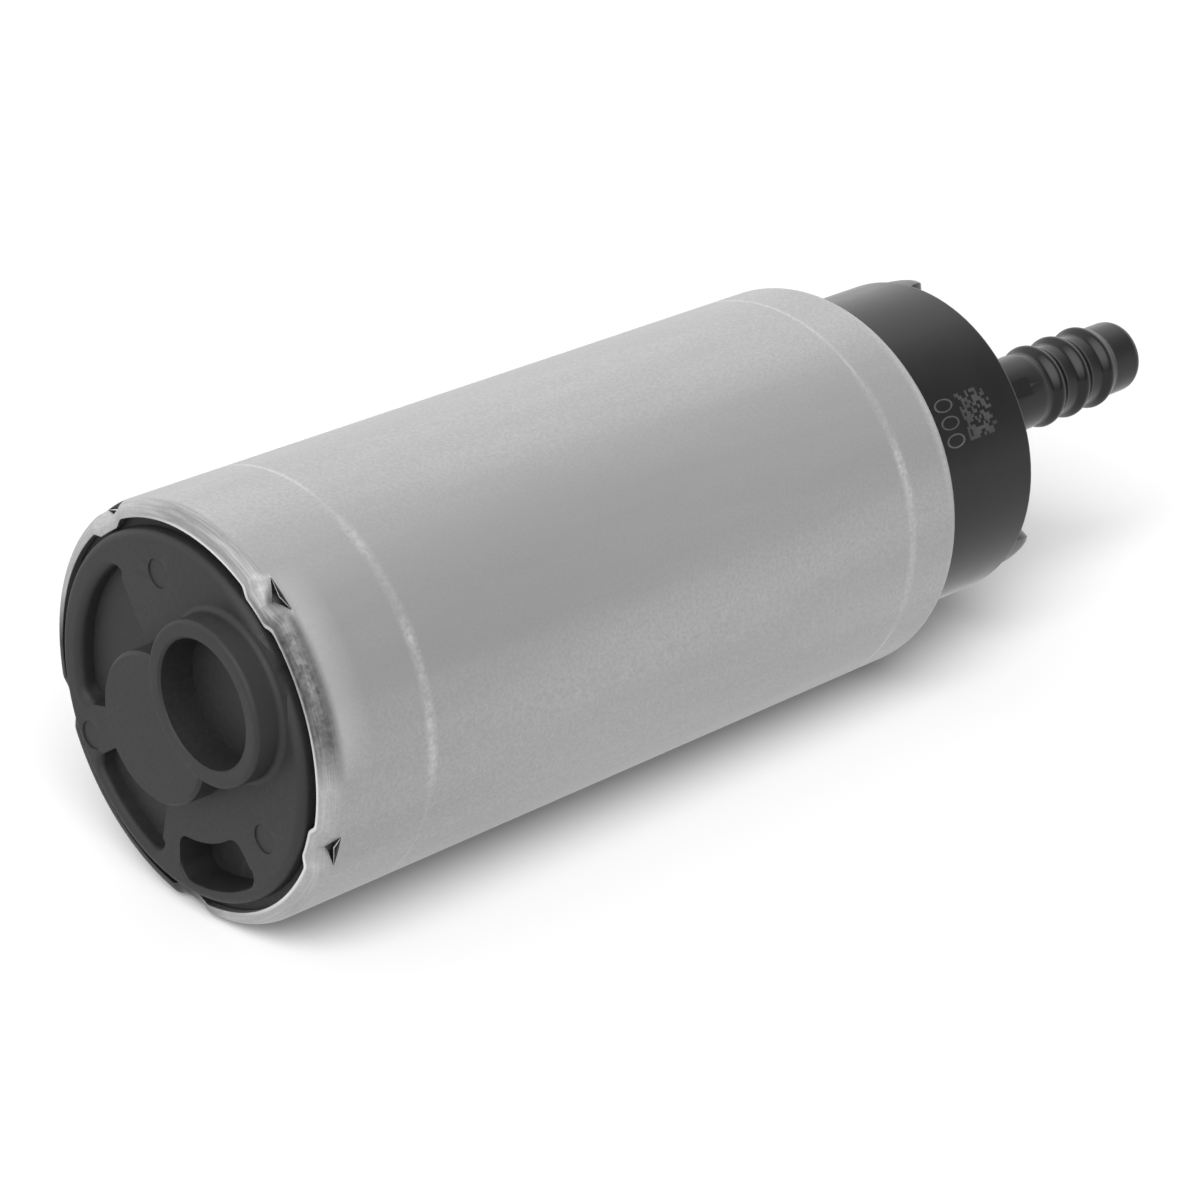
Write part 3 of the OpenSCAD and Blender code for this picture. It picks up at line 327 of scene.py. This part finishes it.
# %% Black plastic for the cap, with its mark
cap_finish, tree, shader, place = surface("black_glass_filled_nylon", Specular_IOR_Level=0.44)
grain = add(tree, "TexNoise", place, lumps(0.3), 2.0)
ripple = add(tree, "TexNoise", place, lumps(3.5), 3.0)
tone = add(tree, "Mix.RGBA", add(tree, "MapRange", ripple, 0.3, 0.7), linear("#090909"),
           linear("#0E0E0E"))
across = add(tree, "SeparateXYZ", place).node.outputs
along = add(tree, "Math.SUBTRACT", add(tree, "Math.MULTIPLY", across["X"], 1 / MM), LIP_X)
degree = add(tree, "Math.MULTIPLY", add(tree, "Math.ARCTAN2", across["Z"], across["Y"]),
             180 / math.pi)
SQUARE_X, SQUARE_DEGREES, CELLS = (93.6, 98.2), (139.8, 156.8), 14
CIPHER_DEGREES, CIPHER_X = (142.2, 148.6, 155.0), 91.5
CIPHER_HALF_DEGREES, CIPHER_HALF_X = 2.4, 1.4


def within(value, low, high):
    """1 between low and high, 0 outside them."""
    return add(tree, "Math.MULTIPLY", add(tree, "Math.GREATER_THAN", value, low),
               add(tree, "Math.LESS_THAN", value, high))


def spread(value, low, high):
    """Steps from 0 to CELLS over low..high."""
    share = add(tree, "Math.SUBTRACT", value, low)
    return add(tree, "Math.FLOOR", add(tree, "Math.MULTIPLY", share, CELLS / (high - low)))


cell = add(tree, "CombineXYZ", spread(along, *SQUARE_X), spread(degree, *SQUARE_DEGREES))
filled = add(tree, "Math.GREATER_THAN", add(tree, "TexWhiteNoise", cell), 0.5)
in_square = add(tree, "Math.MULTIPLY", within(along, *SQUARE_X), within(degree, *SQUARE_DEGREES))
marked = add(tree, "Math.MULTIPLY", add(tree, "Math.MULTIPLY", filled, 0.55), in_square)
for cipher_at in CIPHER_DEGREES:
    beside = add(tree, "Math.DIVIDE", add(tree, "Math.SUBTRACT", degree, cipher_at),
                 CIPHER_HALF_DEGREES)
    up = add(tree, "Math.DIVIDE", add(tree, "Math.SUBTRACT", along, CIPHER_X), CIPHER_HALF_X)
    ring = within(hypotenuse(tree, beside, up), 0.8, 1.0)
    marked = add(tree, "Math.MAXIMUM", marked, ring)
wear = add(tree, "MapRange", add(tree, "TexNoise", place, lumps(1.6), 3.0), 0.35, 0.6, 0.6, 1.0)
tone = add(tree, "Mix.RGBA", add(tree, "Math.MULTIPLY", marked, wear), tone, linear("#565656"))
dress(tree, shader, tone, add(tree, "MapRange", ripple, 0.3, 0.7, 0.18, 0.24),
      add(tree, "Math.ADD", grain, add(tree, "Math.MULTIPLY", ripple, 4.0)), 0.004)
print("cap finish:", len(tree.nodes), "nodes")

# %% [markdown]
# The pieces inside are seen only when the pump is opened, but each is a real material. One table
# holds what differs: two tones, how metallic and how rough it is, and the size and the depth of
# its grain.

# %% Materials for the inside
def grained(name, dark, light, metallic, rough, grain_mm, depth_mm):
    finish, tree, shader, place = surface(name, Metallic=metallic)
    grain = add(tree, "TexNoise", place, lumps(grain_mm), 3.0)
    tone = add(tree, "Mix.RGBA", add(tree, "MapRange", grain, 0.35, 0.65), linear(dark),
               linear(light))
    dress(tree, shader, tone,
          add(tree, "MapRange", grain, 0.3, 0.7, rough - 0.05, rough + 0.05), grain, depth_mm)
    return finish


INSIDE = {
    "phenolic_brown": grained("lapped_phenolic", "#2E241B", "#3C3024", 0.0, 0.45, 0.3, 0.006),
    "holder_cream": grained("natural_acetal", "#CFC7B2", "#DCD5C3", 0.0, 0.42, 0.5, 0.004),
    "ferrite": grained("sintered_ferrite", "#3B3838", "#474443", 0.0, 0.6, 0.25, 0.01),
    "spring_steel": grained("drawn_stainless_wire", "#B9BABC", "#CDCED0", 1.0, 0.25, 0.3, 0.002),
    "ground_steel": grained("ground_bearing_steel", "#BFC0C2", "#CFD0D2", 1.0, 0.18, 0.4, 0.001),
    "sintered_bronze": grained("oiled_sintered_bronze", "#6A5238", "#8A6D4A", 1.0, 0.5, 0.2, 0.01),
    "enamel_copper": grained("enamelled_copper_wire", "#8E4A22", "#B0622F", 1.0, 0.3, 0.5, 0.003),
    "bare_copper": grained("braided_bare_copper", "#B87349", "#D29468", 1.0, 0.35, 0.2, 0.02),
    "carbon": grained("pressed_brush_carbon", "#222224", "#303033", 0.2, 0.55, 0.15, 0.006),
    "tinned_brass": grained("tinned_brass_strip", "#BDB596", "#CFC8AC", 1.0, 0.28, 0.5, 0.002),
    "seat_brass": grained("turned_brass", "#BF9648", "#CFA85B", 1.0, 0.24, 0.5, 0.002),
    "rubber": grained("moulded_fluoro_rubber", "#1A1A1B", "#232325", 0.0, 0.62, 0.3, 0.006),
    "nylon_white": grained("natural_nylon", "#DDD9CC", "#E8E5DA", 0.0, 0.4, 0.6, 0.004),
    "plated_steel": can_finish,
    "acetal_grey": cover_finish,
    "nylon_black": cap_finish,
}
print("materials:", len(INSIDE))

# %% [markdown]
# The armature's core is a stack of half-millimetre sheets of silicon steel, which keeps eddy
# currents small. Its seams are dark lines sunk between the sheets, so they are drawn from the
# place along the axis. With this last material every solid can be dressed.

# %% Stacked steel, and a material for every solid
SHEET_MM, SEAM_SHARE = 0.5, 0.18
sheets, tree, shader, place = surface("stacked_silicon_steel", Metallic=1.0, Roughness=0.4)
across = add(tree, "SeparateXYZ", place).node.outputs
through_sheet = add(tree, "Math.FRACT",
                    add(tree, "Math.MULTIPLY", across["X"], 1 / (SHEET_MM * MM)))
seam = add(tree, "MapRange", through_sheet, 0.0, SEAM_SHARE)
tone = add(tree, "Mix.RGBA", seam, linear("#3E3F42"), linear("#8B8D90"))
relief = add(tree, "Bump", Height=seam, Distance=0.03 * MM, Strength=1.0)
tree.links.new(tone, shader.inputs["Base Color"])
tree.links.new(relief, shader.inputs["Normal"])
INSIDE["laminated_steel"] = sheets

for part in record["subparts"]:
    holder = frame["nodes"][part["node"]]
    holder.data.materials.clear()
    holder.data.materials.append(INSIDE[part["material_slot"]])
print("materials:", len(INSIDE), "for", len(record["subparts"]), "nodes")

# %% [markdown]
# The can is one sheet, so it is drawn as one closed section and spun round the axis, as a lathe
# would. The section's corners are joined by edges, and the spin operator sweeps them through an
# eighth of a turn. Three doublings close the ring, which is much quicker than a full spin.

# %% A lathe for closed sections
def arc(centre, radius, start, end, count):
    """Points (x, r) on an arc, angles in degrees from +r towards +x."""
    turn = [math.radians(start + (end - start) * i / count) for i in range(count + 1)]
    return [(centre[0] + radius * math.sin(a), centre[1] + radius * math.cos(a)) for a in turn]


def rows(start, end, count):
    """Points on a line, without its ends."""
    return [(start[0] + (end[0] - start[0]) * i / count, start[1] + (end[1] - start[1]) * i / count)
            for i in range(1, count)]


def lathe(outline, steps):
    """A bmesh from a closed outline of (x, r) in mm from the lip, spun round the X axis."""
    work = bmesh.new()
    corners = [work.verts.new(((x + LIP_X) * MM, 0.0, r * MM)) for x, r in outline]
    edges = [work.edges.new((corners[i - 1], corners[i])) for i in range(len(corners))]
    bmesh.ops.spin(work, geom=corners + edges, cent=(0, 0, 0), axis=(1, 0, 0), dvec=(0, 0, 0),
                   angle=math.pi / 4, steps=steps // 8, use_merge=False, use_duplicate=False)
    for part in (8, 4, 2):
        copied = bmesh.ops.duplicate(work, geom=work.verts[:] + work.edges[:] + work.faces[:])
        moved = [item for item in copied["geom"] if isinstance(item, bmesh.types.BMVert)]
        bmesh.ops.rotate(work, verts=moved, cent=(0, 0, 0),
                         matrix=Matrix.Rotation(2 * math.pi / part, 3, "X"))
    bmesh.ops.remove_doubles(work, verts=work.verts, dist=1e-7)
    bmesh.ops.recalc_face_normals(work, faces=work.faces)
    return work


print("a quarter arc in two steps:", arc((0, 0), 1, 0, 90, 2))

# %% [markdown]
# The outline starts at the lip's inner edge, runs over the outside to the rear end and comes back
# along the inside. The rolled lip needs many narrow rows, because the stakes are pressed into it.
# The wall is thicker between the bead lines, where the magnets lie against it.

# %% Spin the can
CAN_LEN, END_WALL, MID_WALL = 87.7, 0.9, 2.0
END_ROLL, LIP_FILLET = 2.9, 0.1
STAKED_TO = 3.4
STEPS = 720
lip_centre = (LIP_ROLL, CAN_R - LIP_ROLL)
rear_centre = (CAN_LEN - END_ROLL, CAN_R - END_ROLL)
thin_r = CAN_R - END_WALL
rim_r = lip_centre[1] + LIP_FILLET
outline = arc((LIP_FILLET, rim_r), LIP_FILLET, -180, -90, 3)
outline += arc(lip_centre, LIP_ROLL, -86, 0, 22)
outline += rows((LIP_ROLL, CAN_R), (STAKED_TO, CAN_R), 15) + [(STAKED_TO, CAN_R)]
outline += rows((STAKED_TO, CAN_R), (rear_centre[0], CAN_R), 12)
outline += arc(rear_centre, END_ROLL, 0, 90, 14)
outline += arc(rear_centre, END_ROLL - END_WALL, 90, 0, 8)
outline += [(BEADS[1] - LIP_X, thin_r), (BEADS[1] - LIP_X, CAN_R - MID_WALL),
            (BEADS[0] - LIP_X, CAN_R - MID_WALL), (BEADS[0] - LIP_X, thin_r)]
outline += [(STAKED_TO, thin_r)] + rows((STAKED_TO, thin_r), (LIP_ROLL, thin_r), 8)
outline += arc(lip_centre, LIP_ROLL - END_WALL, 0, -86, 6)
outline += arc((END_WALL - LIP_FILLET, rim_r), LIP_FILLET, 90, 180, 3)
can_mesh = lathe(outline, STEPS)
print("can section:", len(outline), "corners,", len(can_mesh.faces), "faces")

# %% [markdown]
# Five stakes lock the cover in. A punch sheared the sheet along a straight line behind the lip
# and bent the metal in front of it inwards. The bent tab is a valley of two facets. Its sheared
# end is a V that lies more than a millimetre deep in the middle, below the dark torn wall of the
# can. The lip's own edge went inwards with it, straight for three millimetres and with an S-curve
# to each side.

# %% The punch's depth
def smooth_step(value, low, high):
    t = min(max((value - low) / (high - low), 0.0), 1.0)
    return t * t * (3 - 2 * t)


def punch_depth(x, t):
    """How far a stake moves the sheet inwards, x from the lip and t round the can, in mm."""
    middle = max(0.0, 1 - abs(t) / SHEAR_HALF)
    v_x = SHEAR_X - V_AHEAD * middle
    edge = EDGE_PUSH * (1 - smooth_step(abs(t), EDGE_FLAT, EDGE_END))
    if x <= v_x:
        share = max(x, 0.0) / v_x
        return edge * (1 - share) + V_DEPTH * middle * share
    if x > SHEAR_X - WALL / 2:
        return 0.0
    torn = min((x - v_x) / max(SHEAR_X - WALL - v_x, 1e-3), 1.0)
    return middle * (V_DEPTH + TORN_DEPTH * torn)


print("deepest point of a stake:", round(punch_depth(SHEAR_X - WALL, 0.0), 3), "mm")

# %% [markdown]
# The mesh is cut along the punch's edges before anything moves, which keeps them sharp: the two
# legs of the V, the valley's middle, and the sheared line twice, as the two ends of the torn wall.

# %% Cut the lip along the punch's edges
def cut(work, near, at, normal):
    """Cuts the faces of a list by a plane and returns the list with the new faces in it."""
    geom = near + list({e for f in near for e in f.edges} | {v for f in near for v in f.verts})
    result = bmesh.ops.bisect_plane(work, geom=geom, dist=1e-7, plane_co=at, plane_no=normal)
    return [item for item in result["geom"] if isinstance(item, bmesh.types.BMFace)]


AHEAD = Vector((1, 0, 0))
CUT_WITHIN = 3.4
turns = [math.radians(STAKE_FIRST + number * 360 / STAKE_COUNT) for number in range(STAKE_COUNT)]
outs = [Vector((0, math.cos(turn), math.sin(turn))) for turn in turns]
staked = (LIP_X + STAKED_TO) * MM
lip_faces = [(face, face.calc_center_median()) for face in can_mesh.faces]
lip_faces = [(face, middle) for face, middle in lip_faces if middle.x < staked]
near_lists = [[face for face, middle in lip_faces
               if (middle - out * CAN_R * MM).yz.length < CUT_WITHIN * MM] for out in outs]
for out, near in zip(outs, near_lists):
    around = AHEAD.cross(out)

    def place_at(x, t):
        return out * CAN_R * MM + AHEAD * (LIP_X + x) * MM + around * t * MM

    apex = place_at(SHEAR_X - V_AHEAD, 0)
    for side in (-1, 1):
        leg = place_at(SHEAR_X, side * SHEAR_HALF) - apex
        near = cut(can_mesh, near, apex, leg.cross(out).normalized())
    near = cut(can_mesh, near, apex, around)
    for back in (WALL, 0.0):
        near = cut(can_mesh, near, place_at(SHEAR_X - back, 0), AHEAD)
print("lip faces:", len(lip_faces), "before the cuts, can faces after them:", len(can_mesh.faces))

# %% [markdown]
# Now the points of the lip are moved by the punch's depth. The sheet's inner layer is backed by
# the cover, so behind the roll it moves less than the outer one, and the metal is squeezed
# between the two.

# %% Press the stakes
SQUEEZE, INNER_SHARE = 0.7, 0.2
lip_verts = [vert for vert in can_mesh.verts if vert.co.x <= staked + 1e-7]
for out in outs:
    around = AHEAD.cross(out)
    for vert in lip_verts:
        t = vert.co.dot(around) / MM
        if abs(t) > EDGE_END or vert.co.dot(out) < 0:
            continue
        x = vert.co.x / MM - LIP_X
        depth = punch_depth(x, t)
        from_axis = vert.co.yz.length / MM
        from_lip_centre = math.hypot(x - lip_centre[0], from_axis - lip_centre[1])
        inside = from_axis < thin_r + 0.2 if x > LIP_ROLL \
            else from_lip_centre < LIP_ROLL - 0.5 * END_WALL
        if inside and x > LIP_ROLL - 0.5 * END_WALL:
            depth = min(depth, max(depth - SQUEEZE, EDGE_PUSH * INNER_SHARE))
        vert.co -= out * depth * MM
print("stakes pressed:", STAKE_COUNT, "at", STAKE_FIRST, "degrees and on")

# %% [markdown]
# A finished bmesh becomes an object. It rides on the body of the solid that it stands for, and it
# takes that solid's material slot. Smooth shading with an angle limit keeps the real edges crisp.

# %% Turn a bmesh into a piece
SLOT_OF = {part["node"]: part["material_slot"] for part in record["subparts"]}
BODY_OF = {node: body for body, nodes in record["behaviour"]["bodies"].items()
           for node in nodes}


def piece(work, name, nodes, sharp_degrees=35.0, rounds=0):
    mesh = bpy.data.meshes.new(name)
    work.to_mesh(mesh)
    work.free()
    mesh.materials.append(INSIDE[SLOT_OF[nodes[0]]])
    for face in mesh.polygons:
        face.use_smooth = True
    mesh.set_sharp_from_angle(angle=math.radians(sharp_degrees))
    made = bpy.data.objects.new(name, mesh)
    bpy.context.scene.collection.objects.link(made)
    if rounds:
        rounder = made.modifiers.new("rounder", "SUBSURF")
        rounder.levels = rounder.render_levels = rounds
    else:
        flats = made.modifiers.new("large_faces_lead_the_shading", "WEIGHTED_NORMAL")
        flats.weight, flats.keep_sharp = 90, True
    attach(made, BODY_OF[nodes[0]])
    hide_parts(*nodes)
    print(name, "faces:", len(mesh.polygons))


piece(can_mesh, "steel_can", ["can"])

# %% [markdown]
# A mould can't leave a knife edge, so each moulded edge is broken by a small radius, and that
# radius is what catches the light. The solids of the cover and the cap have the right shapes with
# sharp edges. A copy of each is cleaned first: doubles are merged and flat facets joined. Then
# the bevel operator rounds its edges, and faces with many corners are split into triangles.

# %% Tools for moulded edges
SHARP_DEGREES = 32


def cleaned(node):
    work = bmesh.new()
    work.from_mesh(frame["nodes"][node].data)
    bmesh.ops.remove_doubles(work, verts=work.verts, dist=2e-6)
    bmesh.ops.dissolve_limit(work, angle_limit=math.radians(0.6), verts=work.verts,
                             edges=work.edges, use_dissolve_boundaries=False)
    return work


def sharp_edges(work, degrees=SHARP_DEGREES):
    return [e for e in work.edges if len(e.link_faces) == 2
            and e.calc_face_angle(0.0) > math.radians(degrees)]


def round_over(work, edges, width_mm, segments):
    bmesh.ops.bevel(work, geom=edges, offset=width_mm * MM, offset_type="OFFSET",
                    affect="EDGES", segments=segments, profile=0.5, material=-1,
                    clamp_overlap=True, loop_slide=True)


def split_large(work):
    bmesh.ops.triangulate(work, faces=[f for f in work.faces if len(f.verts) > 4])


cover_mesh = cleaned("inlet_cover")
cap_mesh = cleaned("outlet_cap")
print("edges to break:", len(sharp_edges(cover_mesh)), "and", len(sharp_edges(cap_mesh)))

# %% [markdown]
# The cover's three pockets have a wide soft radius along their outer rims, as in the photograph.
# Each is found by its angles on the cover's face, and gets a width of its own. At last every edge
# that is still sharp gets a small radius.

# %% Soften the inlet cover
FACE_X, POCKET_R, POCKET_SHARP = LIP_X - 0.86, 14.0, 60
POCKETS = ((-14.0, 57.5, 1.2), (-76.2, -33.5, 0.75), (-131.0, -87.0, 0.4))
COVER_EDGE = 0.2
for first, last, width in POCKETS:
    rims = []
    for edge in sharp_edges(cover_mesh, POCKET_SHARP):
        a, b = (v.co / MM for v in edge.verts)
        middle = (a + b) / 2
        angle = math.degrees(math.atan2(middle.z, middle.y))
        if abs(a.x - FACE_X) + abs(b.x - FACE_X) < 0.02 and middle.yz.length > POCKET_R \
                and first - 1 < angle < last + 1 and abs(a.yz.length - b.yz.length) < 0.5:
            rims.append(edge)
    print("soft rim of", width, "mm on", len(rims), "edges")
    round_over(cover_mesh, rims, width, 6)
round_over(cover_mesh, sharp_edges(cover_mesh), COVER_EDGE, 3)
split_large(cover_mesh)
piece(cover_mesh, "moulded_inlet_cover", ["inlet_cover"], 30)

# %% [markdown]
# Two lugs on the cap's end locate the pump in its carrier. They reach further out than the
# solid's, and their tops are crowned. So the points of each are stretched along the axis, most in
# the middle of the lug, before their rims get a wide radius.

# %% Shape the lugs and soften the outlet cap
CAP_END, LUG_REACH, LUG_CROWN, LUG_HALF = LIP_X + 102.6, 2.3, 0.7, 7.8
LUGS_AT, LUG_INNER_R = (78.2, 213.2), 15.9
LUG_RIM, CAP_EDGE = 0.75, 0.15


def across_lug(vert):
    """Where a point of a lug lies across it, -1 to 1, or None away from the lugs."""
    out = vert.co.yz
    if vert.co.x / MM < CAP_END + 0.05 or out.length / MM < LUG_INNER_R:
        return None
    degree = math.degrees(math.atan2(out.y, out.x)) % 360
    places = [(degree - lug_at) / LUG_HALF for lug_at in LUGS_AT]
    return next((place for place in places if abs(place) < 1.05), None)


lug_points = [(vert, across_lug(vert)) for vert in cap_mesh.verts]
lug_points = [(vert, place) for vert, place in lug_points if place is not None]
for vert, place in lug_points:
    reach = LUG_REACH * math.sqrt(max(1 - LUG_CROWN * place ** 2, 0.1))
    vert.co.x = CAP_END * MM + (vert.co.x - CAP_END * MM) * reach
lug_tops = {vert for vert, place in lug_points}
lug_rims = [edge for edge in sharp_edges(cap_mesh) if lug_tops.issuperset(edge.verts)]
round_over(cap_mesh, lug_rims, LUG_RIM, 4)
round_over(cap_mesh, sharp_edges(cap_mesh), CAP_EDGE, 2)
split_large(cap_mesh)
print("lug points:", len(lug_points), "rims:", len(lug_rims))
piece(cap_mesh, "moulded_outlet_cap", ["outlet_cap"], 30)

# %% [markdown]
# Springs and chokes are wound wire, and the CAD keeps them as five-sided tubes. A circle swept
# along a screw path gives the real round wire. Where the path starts, and which way it turns, is
# read from the solid itself, so that each coil lies where the CAD has it.

# %% Wind the springs and the chokes
STEPS_A_TURN = 28


def wind(node, name, wire_mm, turns):
    low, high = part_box(node)
    axis_at = (low + high) / 2
    points = [v.co for v in frame["nodes"][node].data.vertices]
    wire = wire_mm * MM
    radius = min(high.y - low.y, high.z - low.z) / 2 - wire / 2
    pitch_x = (high.x - low.x - wire) / turns

    def angle_at(x):
        near = [p for p in points if abs(p.x - x) < pitch_x / 10]
        middle = sum(near, Vector()) / len(near) - axis_at
        return math.atan2(middle.z, middle.y)

    first = angle_at(low.x + wire / 2 + pitch_x)
    quarter = angle_at(low.x + wire / 2 + pitch_x * 1.25)
    turning = 1 if math.sin(quarter - first) > 0 else -1
    work = bmesh.new()
    upright = Matrix.Translation((low.x + wire / 2, axis_at.y, axis_at.z)) \
        @ Matrix.Rotation(first, 4, "X") @ Matrix.Translation((0, radius, 0))
    ring = bmesh.ops.create_circle(work, segments=12, radius=wire / 2, matrix=upright)["verts"]
    steps = turns * STEPS_A_TURN
    bmesh.ops.spin(work, geom=ring + work.edges[:], cent=axis_at, axis=(turning, 0, 0),
                   dvec=(pitch_x * turns / steps, 0, 0), angle=2 * math.pi * turns, steps=steps,
                   use_merge=False, use_duplicate=False)
    bmesh.ops.holes_fill(work, edges=[e for e in work.edges if e.is_boundary], sides=0)
    bmesh.ops.remove_doubles(work, verts=work.verts, dist=1e-7)
    bmesh.ops.recalc_face_normals(work, faces=work.faces)
    piece(work, name, [node])


for side in "ab":
    wind("brush_spring_" + side, "wound_brush_spring_" + side, 0.5, 7)
    wind("choke_coil_" + side, "wound_choke_" + side, 0.7, 7)
wind("check_spring", "wound_check_spring", 0.5, 6)
wind("relief_spring", "wound_relief_spring", 0.4, 5)

# %% [markdown]
# The brush leads are soft braided copper. The CAD sweeps them as six-sided tubes. A subdivided
# copy is round, and the copy is swelled first, because subdividing a hexagon draws it in by a
# sixth. The armature's end turns are bundles of lacquered wire, so their rims are rounded.

# %% Round the leads and the windings
LEAD_R = 0.45
WINDING_SHARP, WINDING_EDGE = 50, 0.12
for side in "ab":
    lead_mesh = cleaned("brush_lead_" + side)
    bmesh.ops.join_triangles(lead_mesh, faces=lead_mesh.faces, angle_face_threshold=3.1,
                             angle_shape_threshold=3.1)
    bmesh.ops.recalc_face_normals(lead_mesh, faces=lead_mesh.faces)
    lead_mesh.normal_update()
    for vert in lead_mesh.verts:
        vert.co += vert.normal * (LEAD_R / 5) * MM
    piece(lead_mesh, "braided_lead_" + side, ["brush_lead_" + side], 60, rounds=2)
turns_mesh = cleaned("windings")
round_over(turns_mesh, sharp_edges(turns_mesh, WINDING_SHARP), WINDING_EDGE, 2)
split_large(turns_mesh)
piece(turns_mesh, "lacquered_end_turns", ["windings"], 40)

# %% [markdown]
# The table is a plain sweep of paper. Its tone is chosen so that the light just burns it out to
# pure white, and the wide soft edge of the shadow stays. In the metal's reflections the floor is
# an even glow, like a light table, and that keeps the can's underside as light as in the
# photograph.

# %% Floor
FLOOR_Z = -CAN_R * MM
TABLE_GLOW, PAPER = 0.85, 0.315
floor_work = bmesh.new()
bmesh.ops.create_grid(floor_work, x_segments=1, y_segments=1, size=4.0,
                      matrix=Matrix.Translation((0, 0, FLOOR_Z)))
floor_mesh = bpy.data.meshes.new("floor")
floor_work.to_mesh(floor_mesh)
floor_work.free()
floor = bpy.data.objects.new("floor", floor_mesh)
bpy.context.scene.collection.objects.link(floor)

paper = bpy.data.materials.new("white_paper_sweep")
paper.use_nodes = True
tree = paper.node_tree
tree.nodes.remove(tree.nodes["Principled BSDF"])
rays = add(tree, "LightPath").node.outputs
matte = add(tree, "BsdfDiffuse", (PAPER,) * 3 + (1,))
glow = add(tree, "Emission", (1, 1, 1, 1), TABLE_GLOW)
chosen = add(tree, "MixShader", rays["Is Glossy Ray"], matte, glow)
tree.links.new(chosen, tree.nodes["Material Output"].inputs["Surface"])
floor_mesh.materials.append(paper)
print("floor at", FLOOR_Z, "m, paper tone", PAPER)

# %% [markdown]
# The light is a bright tent with a darker card high above the camera and a soft bright panel to
# the camera's left. The card draws the dark band along the black cap, and the panel lifts the
# can's rough steel without showing in the smooth plastic. Together they light the pump at a plain
# level, at which a colour renders as it is written.

# %% The tent
SUN_FROM = Vector((-0.518, -0.492, 0.70)).normalized()
CARD_TOWARDS = (0.0, -0.75, 0.66)
TENT, CARD, PANEL = (1.15,) * 3 + (1,), (0.40,) * 3 + (1,), (2.8,) * 3 + (1,)
world = bpy.data.worlds.new("tent")
bpy.context.scene.world = world
world.use_nodes = True
tree = world.node_tree
tree.nodes.clear()
direction = add(tree, "TexCoord").node.outputs["Generated"]
to_card = add(tree, "VectorMath.DOT_PRODUCT", direction, CARD_TOWARDS)
to_panel = add(tree, "VectorMath.DOT_PRODUCT", direction, tuple(SUN_FROM))
tent = add(tree, "Mix.RGBA", add(tree, "MapRange", to_card, 0.32, 0.74), TENT, CARD)
tent = add(tree, "Mix.RGBA", add(tree, "MapRange", to_panel, 0.68, 0.95), tent, PANEL)
rays = add(tree, "LightPath").node.outputs
seen = add(tree, "Mix.RGBA", rays["Is Camera Ray"], tent, (1, 1, 1, 1))
add(tree, "OutputWorld", add(tree, "Background", seen, 1.0))
print("tent:", len(tree.nodes), "nodes")

# %% [markdown]
# The burnt-out table needs more than the tent gives, so one broad sun over the camera's left
# shoulder lights the table alone, by light linking. The pump still throws its shadow there,
# behind itself and past its outlet end.

# %% The table's sun
SUN_DEGREES, SUN_ENERGY = 48, 9.6
sun_data = bpy.data.lights.new("table_sun", "SUN")
sun_data.angle = math.radians(SUN_DEGREES)
sun_data.energy = SUN_ENERGY
sun = bpy.data.objects.new("table_sun", sun_data)
sun.rotation_euler = SUN_FROM.to_track_quat("Z", "Y").to_euler()
sun.visible_glossy = False
bpy.context.scene.collection.objects.link(sun)
table_only = bpy.data.collections.new("table_only")
table_only.objects.link(floor)
sun.light_linking.receiver_collection = table_only
bpy.context.scene.view_settings.view_transform = "Standard"
